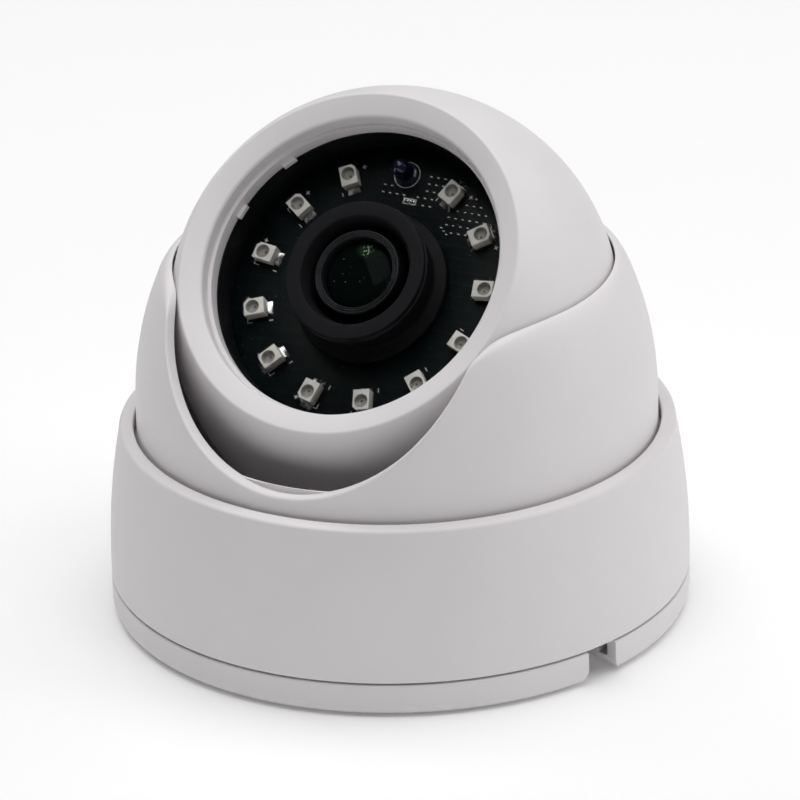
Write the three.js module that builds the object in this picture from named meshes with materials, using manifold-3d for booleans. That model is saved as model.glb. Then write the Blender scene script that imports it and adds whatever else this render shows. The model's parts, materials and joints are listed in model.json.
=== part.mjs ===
// A plastic eyeball camera for a ceiling or wall, built as the separate pieces it comes apart into.
//
// Units are millimetres and +Z is up. The origin is the centre of the base's underside, and the
// eyeball looks towards -Y. Four bodies move: the cover ring twists off the base, the shroud pans on
// the base, the steel yoke tilts in the shroud, and the eyeball rolls on the yoke.

import * as THREE from 'three';
import { mergeVertices } from 'three/addons/utils/BufferGeometryUtils.js';
import Module from 'manifold-3d';

const wasm = await Module();
wasm.setup();

// ---------------------------------------------------------------------------------------------
// Driving dimensions
// ---------------------------------------------------------------------------------------------

const GAP = 0.3;                 // air between neighbours that would otherwise touch
const BIG = 40;                  // sides of the large turned pieces
const MID = 20;                  // sides of the middle-sized ones
const SMALL = 12;                // sides of screws, pins and bosses

const BASE_R = 48;               // outside of the base and of the cover ring's foot
const PARTING_Z = 5.8;           // where the cover ring sits down on the base
const FLOOR = 2.4;               // thickness of the base's floor
const SPIGOT_R = 44;             // upright wall of the base that carries the shroud
const SPIGOT_TOP = 25.6;
const RING_TOP_Z = 32.2;         // highest edge of the cover ring
const RING_MOUTH_R = 43.5;       // hole in the cover ring that the shroud comes through
const SHROUD_R = 43;             // shroud at its foot
const SHROUD_BULGE = 55.7;       // radius of the shroud's curved side
const RIM_Z = 60;                // top of the shroud's rim

const BALL_Z = 50.7;             // centre of the eyeball above the base's underside
const BALL_R = 36.9;             // outside of the eyeball
const BALL_WALL = 2.2;
const TILT = THREE.MathUtils.degToRad(42);   // elevation of the lens axis at rest
const FACE_H = 22.3;             // flat front of the eyeball, ahead of its centre
const SEAM_H = -9;               // joint between the front and the rear shell, behind the centre
const OPENING_R = 25.5;          // round opening of the bezel

const BOARD_TOP = 10.3;          // face of the lamp board, ahead of the eyeball's centre
const BOARD_THICK = 1.6;
const LAMP_RING_R = 20;          // circle that the lamps stand on
const LAMP_PLACES = 13;          // the top place holds the light sensor
const SENSOR_BOARD_TOP = -3.1;   // face of the board that carries the image sensor
const HOLDER_SCREW_X = [-10.3, 10.3];   // screws through that board into the lens holder
const STANDOFF_X = [-16, 16];    // pillars between the two boards

const BOSS_R = 30.3;             // circle of the three screws that join the eyeball's shells
const BOSS_ANGLES = [30, 150, 270].map(THREE.MathUtils.degToRad);
const YOKE_R = 37.25;            // inside of the yoke's half hoop
const YOKE_THICK = 1;
const YOKE_WIDTH = 6;
const HUB_H = -35.4;             // inner face of the yoke's hub, behind the eyeball's centre
const TRUNNION_R = 1.8;          // pins that the yoke tilts on
const TRUNNION_END = 39.6;       // how far out each pin reaches
const LUG_ANGLES = [30, 150, 270].map(THREE.MathUtils.degToRad);
const LUG_SPAN = THREE.MathUtils.degToRad(14);
const NOTCH_ANGLE = THREE.MathUtils.degToRad(-20.6);   // cable notch, from +X
const NOTCH_WIDTH = 6.1;
const SCREW_ANGLES = [35, 155, 275].map(THREE.MathUtils.degToRad);   // holes in the floor

// ---------------------------------------------------------------------------------------------
// Materials
// ---------------------------------------------------------------------------------------------

const finish = (color, roughness, metalness = 0) =>
  () => new THREE.MeshStandardMaterial({ color, roughness, metalness });

const whitePlastic = finish(0xe4e1e2, 0.55);
const blackPlastic = finish(0x17181b, 0.5);
const blackRubber = finish(0x101113, 0.8);
const clearAcrylic = finish(0xdfe6e6, 0.05);
const lensGlass = finish(0x0b1a16, 0.03);
const lampPackage = finish(0xd6d3c8, 0.45);
const sensorPlastic = finish(0x10142a, 0.25);
const boardLaminate = finish(0x0c1412, 0.45);
const chipBlack = finish(0x222326, 0.4);
const connectorWhite = finish(0xe8e6dc, 0.5);
const steel = finish(0xb9bbbe, 0.35, 1);
const brass = finish(0xc4a15a, 0.35, 1);

// ---------------------------------------------------------------------------------------------
// Shape helpers. Each one gives a closed solid that can be joined to others and cut.
// ---------------------------------------------------------------------------------------------

function solid(geometry) {
  geometry.deleteAttribute('normal');
  geometry.deleteAttribute('uv');
  const merged = mergeVertices(geometry, 1e-4);
  const index = merged.index.array;
  const kept = [];
  for (let i = 0; i < index.length; i += 3) {
    const [a, b, c] = [index[i], index[i + 1], index[i + 2]];
    if (a !== b && b !== c && c !== a) kept.push(a, b, c);
  }
  const vertProperties = new Float32Array(merged.attributes.position.array);
  const mesh = new wasm.Mesh({ numProp: 3, vertProperties, triVerts: new Uint32Array(kept) });
  return new wasm.Manifold(mesh);
}

// Turn a half outline about Z. Its points are [radius, height] pairs, anticlockwise.
function turned(outline, sides = BIG) {
  const points = outline.map(([r, z]) => new THREE.Vector2(r, z));
  return solid(new THREE.LatheGeometry(points, sides).rotateX(Math.PI / 2));
}

function closedTurned(outline, sides = BIG) {
  return turned([...outline, outline[0]], sides);
}

// Points on an arc about [cr, cz], from one angle to another in degrees.
function arc(cr, cz, radius, from, to, steps) {
  return Array.from({ length: steps + 1 }, (_, i) => {
    const angle = THREE.MathUtils.degToRad(from + ((to - from) * i) / steps);
    return [cr + radius * Math.cos(angle), cz + radius * Math.sin(angle)];
  });
}

// Points on a circle about the origin between two heights.
function sphereArc(radius, fromZ, toZ, steps) {
  const angle = (z) => THREE.MathUtils.radToDeg(Math.asin(z / radius));
  return arc(0, 0, radius, angle(fromZ), angle(toZ), steps);
}

function post(radius, z0, z1, x = 0, y = 0, sides = SMALL) {
  return turned([[0, z0], [radius, z0], [radius, z1], [0, z1]], sides).translate([x, y, 0]);
}

function tube(rIn, rOut, z0, z1, sides = MID) {
  return closedTurned([[rIn, z0], [rOut, z0], [rOut, z1], [rIn, z1]], sides);
}

function block(x0, x1, y0, y1, z0, z1) {
  const box = new THREE.BoxGeometry(x1 - x0, y1 - y0, z1 - z0);
  return solid(box.translate((x0 + x1) / 2, (y0 + y1) / 2, (z0 + z1) / 2));
}

// A flat outline in X and Y, raised from z0 to z1.
function raised(shape, z0, z1, curveSegments = 6) {
  const options = { depth: z1 - z0, bevelEnabled: false, curveSegments };
  return solid(new THREE.ExtrudeGeometry(shape, options).translate(0, 0, z0));
}

// Part of a ring, centred on an angle.
function ringSector(rIn, rOut, angle, span, z0, z1, steps = 4) {
  const shape = new THREE.Shape();
  shape.absarc(0, 0, rOut, angle - span / 2, angle + span / 2, false);
  shape.absarc(0, 0, rIn, angle + span / 2, angle - span / 2, true);
  return raised(shape, z0, z1, steps);
}

function roundedPlate(width, height, corner, z0, z1) {
  const [x, y] = [width / 2, height / 2];
  const shape = new THREE.Shape();
  shape.moveTo(-x + corner, -y);
  shape.absarc(x - corner, -y + corner, corner, -Math.PI / 2, 0, false);
  shape.absarc(x - corner, y - corner, corner, 0, Math.PI / 2, false);
  shape.absarc(-x + corner, y - corner, corner, Math.PI / 2, Math.PI, false);
  shape.absarc(-x + corner, -y + corner, corner, Math.PI, Math.PI * 1.5, false);
  return raised(shape, z0, z1, 3);
}

const around = (angles, make) => angles.map((a) => make(Math.cos(a), Math.sin(a), a));
const joined = (first, ...more) => more.flat().reduce((sum, piece) => sum.add(piece), first);
const cut = (first, ...tools) => tools.flat().reduce((rest, tool) => rest.subtract(tool), first);

function named(name, shape, material) {
  const { vertProperties, triVerts } = shape.getMesh();
  const geometry = new THREE.BufferGeometry();
  geometry.setAttribute('position', new THREE.BufferAttribute(new Float32Array(vertProperties), 3));
  geometry.setIndex(new THREE.BufferAttribute(new Uint32Array(triVerts), 1));
  geometry.computeVertexNormals();
  const mesh = new THREE.Mesh(geometry, material());
  mesh.name = name;
  return mesh;
}

// ---------------------------------------------------------------------------------------------
// Base, cable bush and friction ring
// ---------------------------------------------------------------------------------------------

// The notch's outline across the rim: straight sides, and lower corners that flare outwards.
function cableNotch() {
  const half = NOTCH_WIDTH / 2;
  const flare = 2.7;
  const shape = new THREE.Shape();
  shape.moveTo(-half - flare, -1);
  shape.lineTo(half + flare, -1);
  shape.lineTo(half + flare, 0);
  shape.absarc(half + flare, flare, flare, -Math.PI / 2, -Math.PI, true);
  shape.lineTo(half, PARTING_Z + GAP);
  shape.lineTo(-half, PARTING_Z + GAP);
  shape.absarc(-half - flare, flare, flare, 0, -Math.PI / 2, true);
  const [inner, outer] = [38, 50];
  return raised(shape, inner, outer, 5)
    .rotate([90, 0, 90])
    .rotate([0, 0, THREE.MathUtils.radToDeg(NOTCH_ANGLE)]);
}

function mountingBase() {
  const edge = 2.1;
  const rimTop = PARTING_Z - 0.2;
  const [rimIn, wallIn] = [46, 42.2];
  const body = turned([
    [0, 0], ...arc(BASE_R - edge, edge, edge, -90, 0, 3),
    [BASE_R, rimTop], [rimIn, rimTop], [rimIn, FLOOR],
    [SPIGOT_R, FLOOR], [SPIGOT_R, SPIGOT_TOP], [wallIn, SPIGOT_TOP], [wallIn, FLOOR], [0, FLOOR],
  ]);
  const lugs = around(LUG_ANGLES, (c, s, a) => ringSector(43.5, 45.3, a, LUG_SPAN, 9.4, 11.6));
  const panStop = ringSector(40.6, 42.8, Math.PI / 2, 0.1, 20, SPIGOT_TOP, 2);
  const [holeR, holeCircle] = [2.3, 33];
  const screwHoles = around(SCREW_ANGLES, (c, s) =>
    post(holeR, -1, FLOOR + 1, holeCircle * c, holeCircle * s));
  const cableHole = post(8, -1, FLOOR + 1, 0, 0, MID);
  return named('mounting_base',
    cut(joined(body, lugs, panStop), cableHole, screwHoles, cableNotch()), whitePlastic);
}

function cableGrommet() {
  const [lip, groove, bore] = [9.6, 7.7, 4.5];
  return named('cable_grommet', closedTurned([
    [bore, 0.4], [groove, 0.4], [groove, FLOOR + 0.1], [lip, FLOOR + 0.1], [lip, FLOOR + 1.5],
    [bore + 1.2, FLOOR + 3], [bore, FLOOR + 3],
  ], MID), blackRubber);
}

function frictionRing() {
  return named('friction_ring', tube(42.4, 43.8, SPIGOT_TOP + 0.1, SPIGOT_TOP + 0.6, BIG),
    blackRubber);
}

// ---------------------------------------------------------------------------------------------
// Cover ring: clamps the shroud's flange down, and locks on the base with three hooks
// ---------------------------------------------------------------------------------------------

function coverRing() {
  const bulge = 118;
  const foot = PARTING_Z + 0.1;
  const widest = 9;
  const lipUnder = 29.2;
  const side = arc(BASE_R - bulge, widest, bulge, 0, 10.55, 4);
  const body = closedTurned([
    [45.95, foot], [BASE_R - 0.3, foot], [BASE_R, foot + 0.4], ...side,
    [45.95, 31.35], [45.6, 31.8], [RING_MOUTH_R + 0.3, RING_TOP_Z], [RING_MOUTH_R, RING_TOP_Z - 0.3],
    [RING_MOUTH_R, lipUnder], [44.6, lipUnder], [45, 27], [45.7, 18],
  ]);
  const hooks = around(LUG_ANGLES, (c, s, a) => ringSector(44.4, 46.4, a, LUG_SPAN, 7, 9));
  return named('cover_ring', joined(body, hooks), whitePlastic);
}

// ---------------------------------------------------------------------------------------------
// Shroud: pans on the base, holds the eyeball from above, and dips at the front
// ---------------------------------------------------------------------------------------------

// The dip seen from the front: a round bottom, and sides that flow out into the level rim.
function frontDip() {
  const [dipR, dipZ] = [27.8, 62.8];
  const [level, reach, rise] = [RIM_Z - 0.1, 35.8, 6.9];
  const leave = Math.acos(rise / dipR);
  const side = dipR * Math.sin(leave);
  const shape = new THREE.Shape();
  shape.moveTo(-reach - 6, level + 8);
  shape.lineTo(-reach - 6, level);
  shape.lineTo(-reach, level);
  shape.quadraticCurveTo(-side - 1.1, level - 0.4, -side, dipZ - rise);
  shape.absarc(0, dipZ, dipR, -Math.PI / 2 - leave, -Math.PI / 2 + leave, false);
  shape.quadraticCurveTo(side + 1.1, level - 0.4, reach, level);
  shape.lineTo(reach + 6, level);
  shape.lineTo(reach + 6, level + 8);
  return raised(shape, 0, 60, 7).rotate([90, 0, 0]);
}

function shroud() {
  const [skirtIn, flangeR, flangeZ0, flangeZ1] = [41, 44.3, 26.3, 28.8];
  const upright = 36;
  const side = arc(SHROUD_R - SHROUD_BULGE, upright, SHROUD_BULGE, 0, 22.15, 5);
  const body = closedTurned([
    [skirtIn, flangeZ0], [flangeR, flangeZ0], [flangeR, flangeZ1], [SHROUD_R, flangeZ1], ...side,
    [38.2, 58.6], [37.2, 59.6], [36.4, RIM_Z], [36.15, RIM_Z - 0.3], [36.4, 58.8],
    [37.6, 56.2], [38.7, 54.8], [38.9, 50], [39.9, 46], [skirtIn, upright],
  ]);
  const panTab = ringSector(40.9, 41.9, -Math.PI / 2, 0.1, 22, flangeZ0 + 1, 2);
  const tabRoot = ringSector(40.9, 42.4, -Math.PI / 2, 0.1, flangeZ0, flangeZ0 + 1, 2);
  const slotR = TRUNNION_R + 0.4;
  const slotEnd = TRUNNION_END + GAP;
  const pinSlots = block(-slotEnd, slotEnd, -slotR, slotR, flangeZ0 - 1, BALL_Z);
  const slotTops = post(slotR, -slotEnd, slotEnd).rotate([0, 90, 0]).translate([0, 0, BALL_Z]);
  return named('shroud',
    cut(joined(body, panTab, tabRoot), frontDip(), pinSlots, slotTops), whitePlastic);
}

// A snap-in block under each trunnion pin, so the yoke can't drop out of its slot.
function trunnionKeeper(side) {
  const [z0, z1] = [40.5, BALL_Z - TRUNNION_R - GAP];
  const tongue = block(39, TRUNNION_END, -1.9, 1.9, z0, z1);
  const foot = block(39, TRUNNION_END, -4.5, 4.5, z0 - 4, z0);
  const keeper = joined(tongue, foot);
  return named(side > 0 ? 'trunnion_keeper_left' : 'trunnion_keeper_right',
    side > 0 ? keeper : keeper.rotate([0, 0, 180]), blackPlastic);
}

// ---------------------------------------------------------------------------------------------
// Yoke. From here on, pieces are drawn on the lens axis: Z points where the camera looks, X is the
// tilt axis, and the origin is the eyeball's centre.
// ---------------------------------------------------------------------------------------------

function tiltYoke() {
  const [rIn, rOut] = [YOKE_R, YOKE_R + YOKE_THICK];
  const overrun = 0.07;
  const hoop = new THREE.Shape();
  hoop.absarc(0, 0, rOut, -Math.PI - overrun, overrun, false);
  hoop.absarc(0, 0, rIn, overrun, -Math.PI - overrun, true);
  const band = raised(hoop, -YOKE_WIDTH / 2, YOKE_WIDTH / 2, 20).rotate([90, 0, 0]);
  const [cupR, cupWall] = [6.4, 1];
  const hub = closedTurned([
    [3.9, HUB_H - YOKE_THICK], [cupR - cupWall, HUB_H - YOKE_THICK], [cupR - cupWall, -rOut + 0.2],
    [cupR, -rOut + 0.4], [cupR, HUB_H], [3.9, HUB_H],
  ], MID);
  const mouth = post(cupR - cupWall, -rOut - 2, -rIn + 1, 0, 0, MID);
  const pin = (x0, x1) => post(TRUNNION_R, x0, x1).rotate([0, 90, 0]);
  const pins = [pin(rIn + 0.2, TRUNNION_END), pin(-TRUNNION_END, -rIn - 0.2)];
  return named('tilt_yoke', joined(cut(band, mouth), hub, pins), steel);
}

// ---------------------------------------------------------------------------------------------
// Eyeball shells, and the hollow pivot that the eyeball rolls on
// ---------------------------------------------------------------------------------------------

const INNER_R = BALL_R - BALL_WALL;

function ballFrontShell() {
  const [faceR, ledgeR, socketR, skirtR] = [29.4, 24.9, 27.4, 28.8];
  const [ledgeTop, ledgeUnder, skirtEnd, skirtRoot] = [18.8, 16.2, 9, 16.5];
  const body = closedTurned([
    ...sphereArc(BALL_R, SEAM_H, FACE_H - 0.35, 5), [faceR - 0.15, FACE_H],
    [OPENING_R + 0.7, FACE_H - 0.9], [OPENING_R, FACE_H - 1.6], [OPENING_R, ledgeTop],
    [ledgeR, ledgeTop], [ledgeR, ledgeUnder], [socketR, ledgeUnder], [socketR, skirtEnd],
    [skirtR, skirtEnd], [skirtR, skirtRoot],
    ...sphereArc(INNER_R, skirtRoot, SEAM_H, 3),
  ]);
  const tabAngles = [137, 163].map(THREE.MathUtils.degToRad);
  const tabs = around(tabAngles, (c, s, a) =>
    ringSector(24.3, ledgeR + 0.4, a, 0.1, ledgeUnder, ledgeUnder + 0.9, 2));
  const bosses = around(BOSS_ANGLES, (c, s) =>
    post(3, SEAM_H, skirtEnd + 1, BOSS_R * c, BOSS_R * s));
  const pilots = around(BOSS_ANGLES, (c, s) => post(1.45, SEAM_H - 1, 1, BOSS_R * c, BOSS_R * s));
  return named('ball_front_shell', cut(joined(body, tabs, bosses), pilots), whitePlastic);
}

function ballRearShell() {
  const top = SEAM_H - GAP;
  const [pocketR, pocketH, poleHole, padH] = [7.6, -35, 4.1, -32.6];
  const pocketEdge = -Math.sqrt(BALL_R ** 2 - pocketR ** 2);
  const body = closedTurned([
    [poleHole, pocketH], [pocketR, pocketH],
    ...sphereArc(BALL_R, pocketEdge, top, 5),
    ...sphereArc(INNER_R, top, padH, 3), [poleHole, padH],
  ]);
  const skin = turned(sphereArc(BALL_R - 0.2, -BALL_R + 0.2, top, 6).concat([[0, top]]), MID);
  const bosses = around(BOSS_ANGLES, (c, s) =>
    post(3.6, -28, top, BOSS_R * c, BOSS_R * s).intersect(skin));
  const seat = -13;
  const holes = around(BOSS_ANGLES, (c, s) => post(1.5, -30, 0, BOSS_R * c, BOSS_R * s));
  const pockets = around(BOSS_ANGLES, (c, s) => post(2.9, -40, seat, BOSS_R * c, BOSS_R * s));
  return named('ball_rear_shell', cut(joined(body, bosses), holes, pockets), whitePlastic);
}

function screwShape(headR, headLength, shankR, shankLength) {
  const body = turned([
    [0, -headLength], [headR - 0.4, -headLength], [headR, -headLength + 0.4], [headR, 0],
    [shankR, 0], [shankR, shankLength - 0.8], [0, shankLength],
  ], SMALL);
  const [arm, width, depth] = [headR * 0.6, 0.3, headLength * 0.5];
  const recess = [
    block(-arm, arm, -width, width, -headLength - 1, -headLength + depth),
    block(-width, width, -arm, arm, -headLength - 1, -headLength + depth),
  ];
  return cut(body, recess);
}

function shellScrews() {
  return around(BOSS_ANGLES, (c, s) => [BOSS_R * c, BOSS_R * s]).map(([x, y], i) =>
    named(`shell_screw_${i + 1}`,
      screwShape(2.5, 2, 1.15, 13).translate([x, y, -13 - GAP]), steel));
}

function rollBushing() {
  const [bore, barrel, flange] = [2.6, 3.5, 5];
  return named('roll_bushing', closedTurned([
    [bore, -37.6], [flange, -37.6], [flange, HUB_H - YOKE_THICK - GAP],
    [barrel, HUB_H - YOKE_THICK - GAP], [barrel, -29.5], [bore, -29.5],
  ], MID), blackPlastic);
}

function rollNut() {
  const [z0, z1] = [-32.3, -30];
  const hexagon = post(6.2, z0, z1, 0, 0, 6);
  return named('roll_nut', cut(hexagon, post(3.8, z0 - 1, z1 + 1, 0, 0, MID)), brass);
}

// ---------------------------------------------------------------------------------------------
// Window, baffle and lamp board
// ---------------------------------------------------------------------------------------------

function frontWindow() {
  const [under, top, play] = [19.1, 20.2, 0.35];
  return named('front_window', post(OPENING_R - play, under, top, 0, 0, BIG), clearAcrylic);
}

function lightBaffle() {
  const [outer, seatR, mouth, foot, top] = [27, 26.2, 24.9, 8.4, 15.9];
  const seat = BOARD_TOP + 0.4;
  return named('light_baffle', closedTurned([
    [seatR, foot], [outer, foot], [outer, top], [mouth, top], [mouth - GAP, seat], [seatR, seat],
  ]), blackPlastic);
}

function lampBoard() {
  const under = BOARD_TOP - BOARD_THICK;
  const disc = post(25.9, under, BOARD_TOP, 0, 0, BIG);
  return named('lamp_board', cut(disc, post(8.6, under - 1, BOARD_TOP + 1, 0, 0, MID)),
    boardLaminate);
}

// One surface-mount lamp: a cut-cornered body with a shallow round well around its die. Its long
// way points outwards, and the cut corner is at its outer end.
function lamp(place) {
  const [length, width, height, corner] = [3.5, 2.8, 1.9, 0.6];
  const [x, y] = [length / 2, width / 2];
  const outline = new THREE.Shape();
  outline.moveTo(-x, -y);
  outline.lineTo(x - corner, -y);
  outline.lineTo(x, -y + corner);
  outline.lineTo(x, y);
  outline.lineTo(-x, y);
  const body = raised(outline, 0, height);
  const [wellX, wellR, wellDepth] = [0.25, 1.15, 0.8];
  const well = turned([[0, height - wellDepth], [wellR * 0.75, height - wellDepth],
    [wellR, height], [wellR, height + 1], [0, height + 1]], SMALL).translate([wellX, 0, 0]);
  const mesh = named(`lamp_${String(place).padStart(2, '0')}`, cut(body, well), lampPackage);
  const angle = Math.PI / 2 - (place * 2 * Math.PI) / LAMP_PLACES;
  mesh.position.set(LAMP_RING_R * Math.cos(angle), LAMP_RING_R * Math.sin(angle), BOARD_TOP + GAP);
  mesh.rotation.z = angle;
  return mesh;
}

function lightSensor() {
  const [flangeR, headR, tipR] = [1.95, 1.45, 1.1];
  const [z, flange, head, tip] = [BOARD_TOP + GAP, 0.8, 3.6, 4.9];
  const body = turned([
    [0, z], [flangeR, z], [flangeR, z + flange], [headR, z + flange], [headR, z + head],
    [tipR, z + tip - 0.4], [0, z + tip],
  ], SMALL);
  return named('light_sensor', body.translate([0, LAMP_RING_R, 0]), sensorPlastic);
}

function chipResistor() {
  const z = BOARD_TOP + GAP;
  const [x, y, length, width, height] = [1.8, 15.6, 2, 1.2, 0.5];
  const body = block(-length / 2, length / 2, -width / 2, width / 2, z, z + height);
  return named('chip_resistor', body.translate([x, y, 0]), chipBlack);
}

function lampConnector() {
  const top = BOARD_TOP - BOARD_THICK - GAP;
  const shell = block(-5, 5, -19, -14, top - 4.5, top);
  return named('lamp_connector', cut(shell, block(-4.2, 4.2, -18.2, -14.8, top - 5, top - 1.2)),
    connectorWhite);
}

// ---------------------------------------------------------------------------------------------
// Lens, its holder, and the image sensor's board
// ---------------------------------------------------------------------------------------------

function lensHood() {
  const [bore, flangeR, neckR, lipR, mouthR] = [8.4, 13.2, 10.9, 12.2, 9.3];
  const [z, flange, lipUnder, front] = [BOARD_TOP + GAP, 1, 16.6, 18.8];
  return named('lens_hood', closedTurned([
    [bore, z], [flangeR, z], [flangeR, z + flange], [neckR, z + flange + 0.6], [neckR, lipUnder],
    [lipR, lipUnder + 0.3], [lipR, front - 0.3], [lipR - 0.2, front], [mouthR, front], [bore, 16],
  ], MID), blackRubber);
}

function lensBarrel() {
  const [thread, head, headRoot, front] = [5.9, 7.3, 12.3, 17.9];
  return named('lens_barrel', closedTurned([
    [3.2, -0.5], [thread, -0.5], [thread, headRoot], [head, headRoot], [head, front - 0.4],
    [head - 0.4, front], [6.2, front], [5.75, front - 0.7], [5.75, 13.2], [3.2, 11.2],
  ], MID), blackPlastic);
}

function frontElement() {
  const [edge, rim, crown] = [5.4, 16.1, 17.1];
  return named('lens_front_element', turned([
    [0, 13.6], [edge, 13.6], [edge, rim], [edge * 0.7, rim + 0.5], [edge * 0.35, crown - 0.1],
    [0, crown],
  ], MID), lensGlass);
}

function rearElement() {
  return named('lens_rear_element', turned([
    [0, 0.2], [2, 0.4], [2.85, 0.9], [2.85, 2.4], [0, 2.4],
  ], SMALL), lensGlass);
}

function focusLockRing() {
  return named('focus_lock_ring', tube(6.2, 8, 6.3, 8.3, SMALL), steel);
}

function lensHolder() {
  const foot = SENSOR_BOARD_TOP + GAP;
  const ears = roundedPlate(25, 9, 3, foot, foot + 2);
  const socket = roundedPlate(17, 17, 2, foot, foot + 5);
  const barrel = post(7.8, foot, 6, 0, 0, MID);
  const bore = post(6.2, foot - 1, 7, 0, 0, MID);
  const well = block(-6, 6, -6, 6, foot - 1, foot + 2.2);
  const screwHoles = HOLDER_SCREW_X.map((x) => post(1.2, foot - 1, foot + 3, x));
  return named('lens_holder', cut(joined(ears, socket, barrel), bore, well, screwHoles),
    blackPlastic);
}

function infraredFilter() {
  return named('infrared_filter', block(-4, 4, -4, 4, -1.5, -1), lensGlass);
}

function imageSensor() {
  const z = SENSOR_BOARD_TOP + GAP;
  return named('image_sensor', block(-4.5, 4.5, -3.8, 3.8, z, z + 0.9), chipBlack);
}

function sensorBoard() {
  const under = SENSOR_BOARD_TOP - BOARD_THICK;
  const plate = roundedPlate(38, 38, 3, under, SENSOR_BOARD_TOP);
  const screwHoles = HOLDER_SCREW_X.map((x) => post(1.2, under - 1, SENSOR_BOARD_TOP + 1, x));
  return named('sensor_board', cut(plate, screwHoles), boardLaminate);
}

function holderScrews() {
  const under = SENSOR_BOARD_TOP - BOARD_THICK - GAP;
  return HOLDER_SCREW_X.map((x, i) => named(`holder_screw_${i + 1}`,
    screwShape(1.9, 1.2, 0.9, 4.3).translate([x, 0, under]), steel));
}

function boardStandoffs() {
  const [z0, z1] = [SENSOR_BOARD_TOP + GAP, BOARD_TOP - BOARD_THICK - GAP];
  return STANDOFF_X.map((x, i) =>
    named(`board_standoff_${i + 1}`, post(2.3, z0, z1, x, 0, 6), brass));
}

function cableConnector() {
  const top = SENSOR_BOARD_TOP - BOARD_THICK - GAP;
  const shell = block(-7, 7, 9, 14, top - 5, top);
  return named('cable_connector', cut(shell, block(-6.2, 6.2, 9.8, 13.2, top - 6, top - 1.2)),
    connectorWhite);
}

function videoProcessor() {
  const top = SENSOR_BOARD_TOP - BOARD_THICK - GAP;
  return named('video_processor', block(-6, 6, -14, -4, top - 1, top), chipBlack);
}

// ---------------------------------------------------------------------------------------------
// Assembly
// ---------------------------------------------------------------------------------------------

const onLensAxis = new THREE.Group();
onLensAxis.position.z = BALL_Z;
onLensAxis.rotation.x = Math.PI / 2 - TILT;
onLensAxis.add(
  tiltYoke(), ballFrontShell(), ballRearShell(), ...shellScrews(), rollBushing(), rollNut(),
  frontWindow(), lightBaffle(), lampBoard(), lightSensor(), chipResistor(), lampConnector(),
  lensHood(), lensBarrel(), frontElement(), rearElement(), focusLockRing(), lensHolder(),
  infraredFilter(), imageSensor(), sensorBoard(), ...holderScrews(), ...boardStandoffs(),
  cableConnector(), videoProcessor(),
);
for (let place = 1; place < LAMP_PLACES; place += 1) onLensAxis.add(lamp(place));

const camera = new THREE.Group();
camera.add(
  mountingBase(), cableGrommet(), frictionRing(), coverRing(), shroud(),
  trunnionKeeper(1), trunnionKeeper(-1), onLensAxis,
);

export default camera;
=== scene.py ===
# %% [markdown]
# # A plastic eyeball camera
# This lesson dresses the working model of a small ceiling camera. The frame holds the mechanism:
# a base, a cover ring, a panning shroud, a steel yoke and an eyeball with lamps and a lens. Here
# each visible piece is modelled again with finer surfaces, and every piece gets its finish.

# %% Load the frame
import json
import math

import bpy
from mathutils import Matrix, Vector


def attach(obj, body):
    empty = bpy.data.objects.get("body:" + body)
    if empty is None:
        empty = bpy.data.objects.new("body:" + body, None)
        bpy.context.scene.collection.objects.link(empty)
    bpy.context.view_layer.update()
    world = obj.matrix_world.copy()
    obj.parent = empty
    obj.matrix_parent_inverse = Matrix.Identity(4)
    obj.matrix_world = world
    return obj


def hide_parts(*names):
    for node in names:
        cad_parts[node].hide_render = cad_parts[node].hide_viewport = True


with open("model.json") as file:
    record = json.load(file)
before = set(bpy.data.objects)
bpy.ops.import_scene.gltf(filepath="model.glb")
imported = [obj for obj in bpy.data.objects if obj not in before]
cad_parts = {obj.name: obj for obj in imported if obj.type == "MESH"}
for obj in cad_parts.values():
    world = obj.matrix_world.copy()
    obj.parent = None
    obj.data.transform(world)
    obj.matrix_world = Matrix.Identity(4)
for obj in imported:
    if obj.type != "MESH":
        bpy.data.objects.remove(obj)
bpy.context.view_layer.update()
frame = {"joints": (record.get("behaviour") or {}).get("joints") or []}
MM = 0.001

# %% [markdown]
# The joints say where the eyeball turns. The roll joint's axis is the lens axis, and its point is
# the centre of the eyeball, so every piece in the eyeball can be modelled upright on the Z axis,
# which is the easy way to turn a round thing, and then be laid over onto the lens axis.

# %% The eyeball's centre and the lens axis
roll = next(joint for joint in frame["joints"] if joint["name"] == "roll")
BALL_CENTRE = Vector(roll["pos_m"])
LENS_AXIS = Vector(roll["axis"]).normalized()
LEAN = math.acos(LENS_AXIS.z)
BALL_R = 36.9
print("the lens looks up at", round(90 - math.degrees(LEAN), 2), "degrees")

# %% [markdown]
# The camera comes early, because the view decides which details matter. A long lens far away
# keeps the round base from looking stretched. The picture is turned by a degree or so, as if the
# tripod was not quite level.

# %% Camera
VIEW_AZIMUTH = math.radians(27.0)
VIEW_ELEVATION = math.radians(23.62)
VIEW_ROLL = math.radians(-1.37)
VIEW_DISTANCE = 1.2366
VIEW_TARGET = Vector((0.45, 0.23, 34.67)) * MM


def aim_camera(target, azimuth, elevation, roll_angle, distance, lens):
    """Put a camera on a sphere round the target, looking in, rolled about its own axis."""
    back = Vector((math.sin(azimuth) * math.cos(elevation),
                   -math.cos(azimuth) * math.cos(elevation), math.sin(elevation)))
    level = Vector((math.cos(azimuth), math.sin(azimuth), 0))
    upright = back.cross(level)
    right = level * math.cos(roll_angle) + upright * math.sin(roll_angle)
    up = back.cross(right)
    bpy.ops.object.camera_add()
    camera = bpy.context.object
    camera.name = "view_camera"
    turn = Matrix((right, up, back)).transposed().to_4x4()
    camera.matrix_world = Matrix.Translation(target + back * distance) @ turn
    camera.data.lens = lens
    camera.data.clip_end = 50
    return camera


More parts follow.
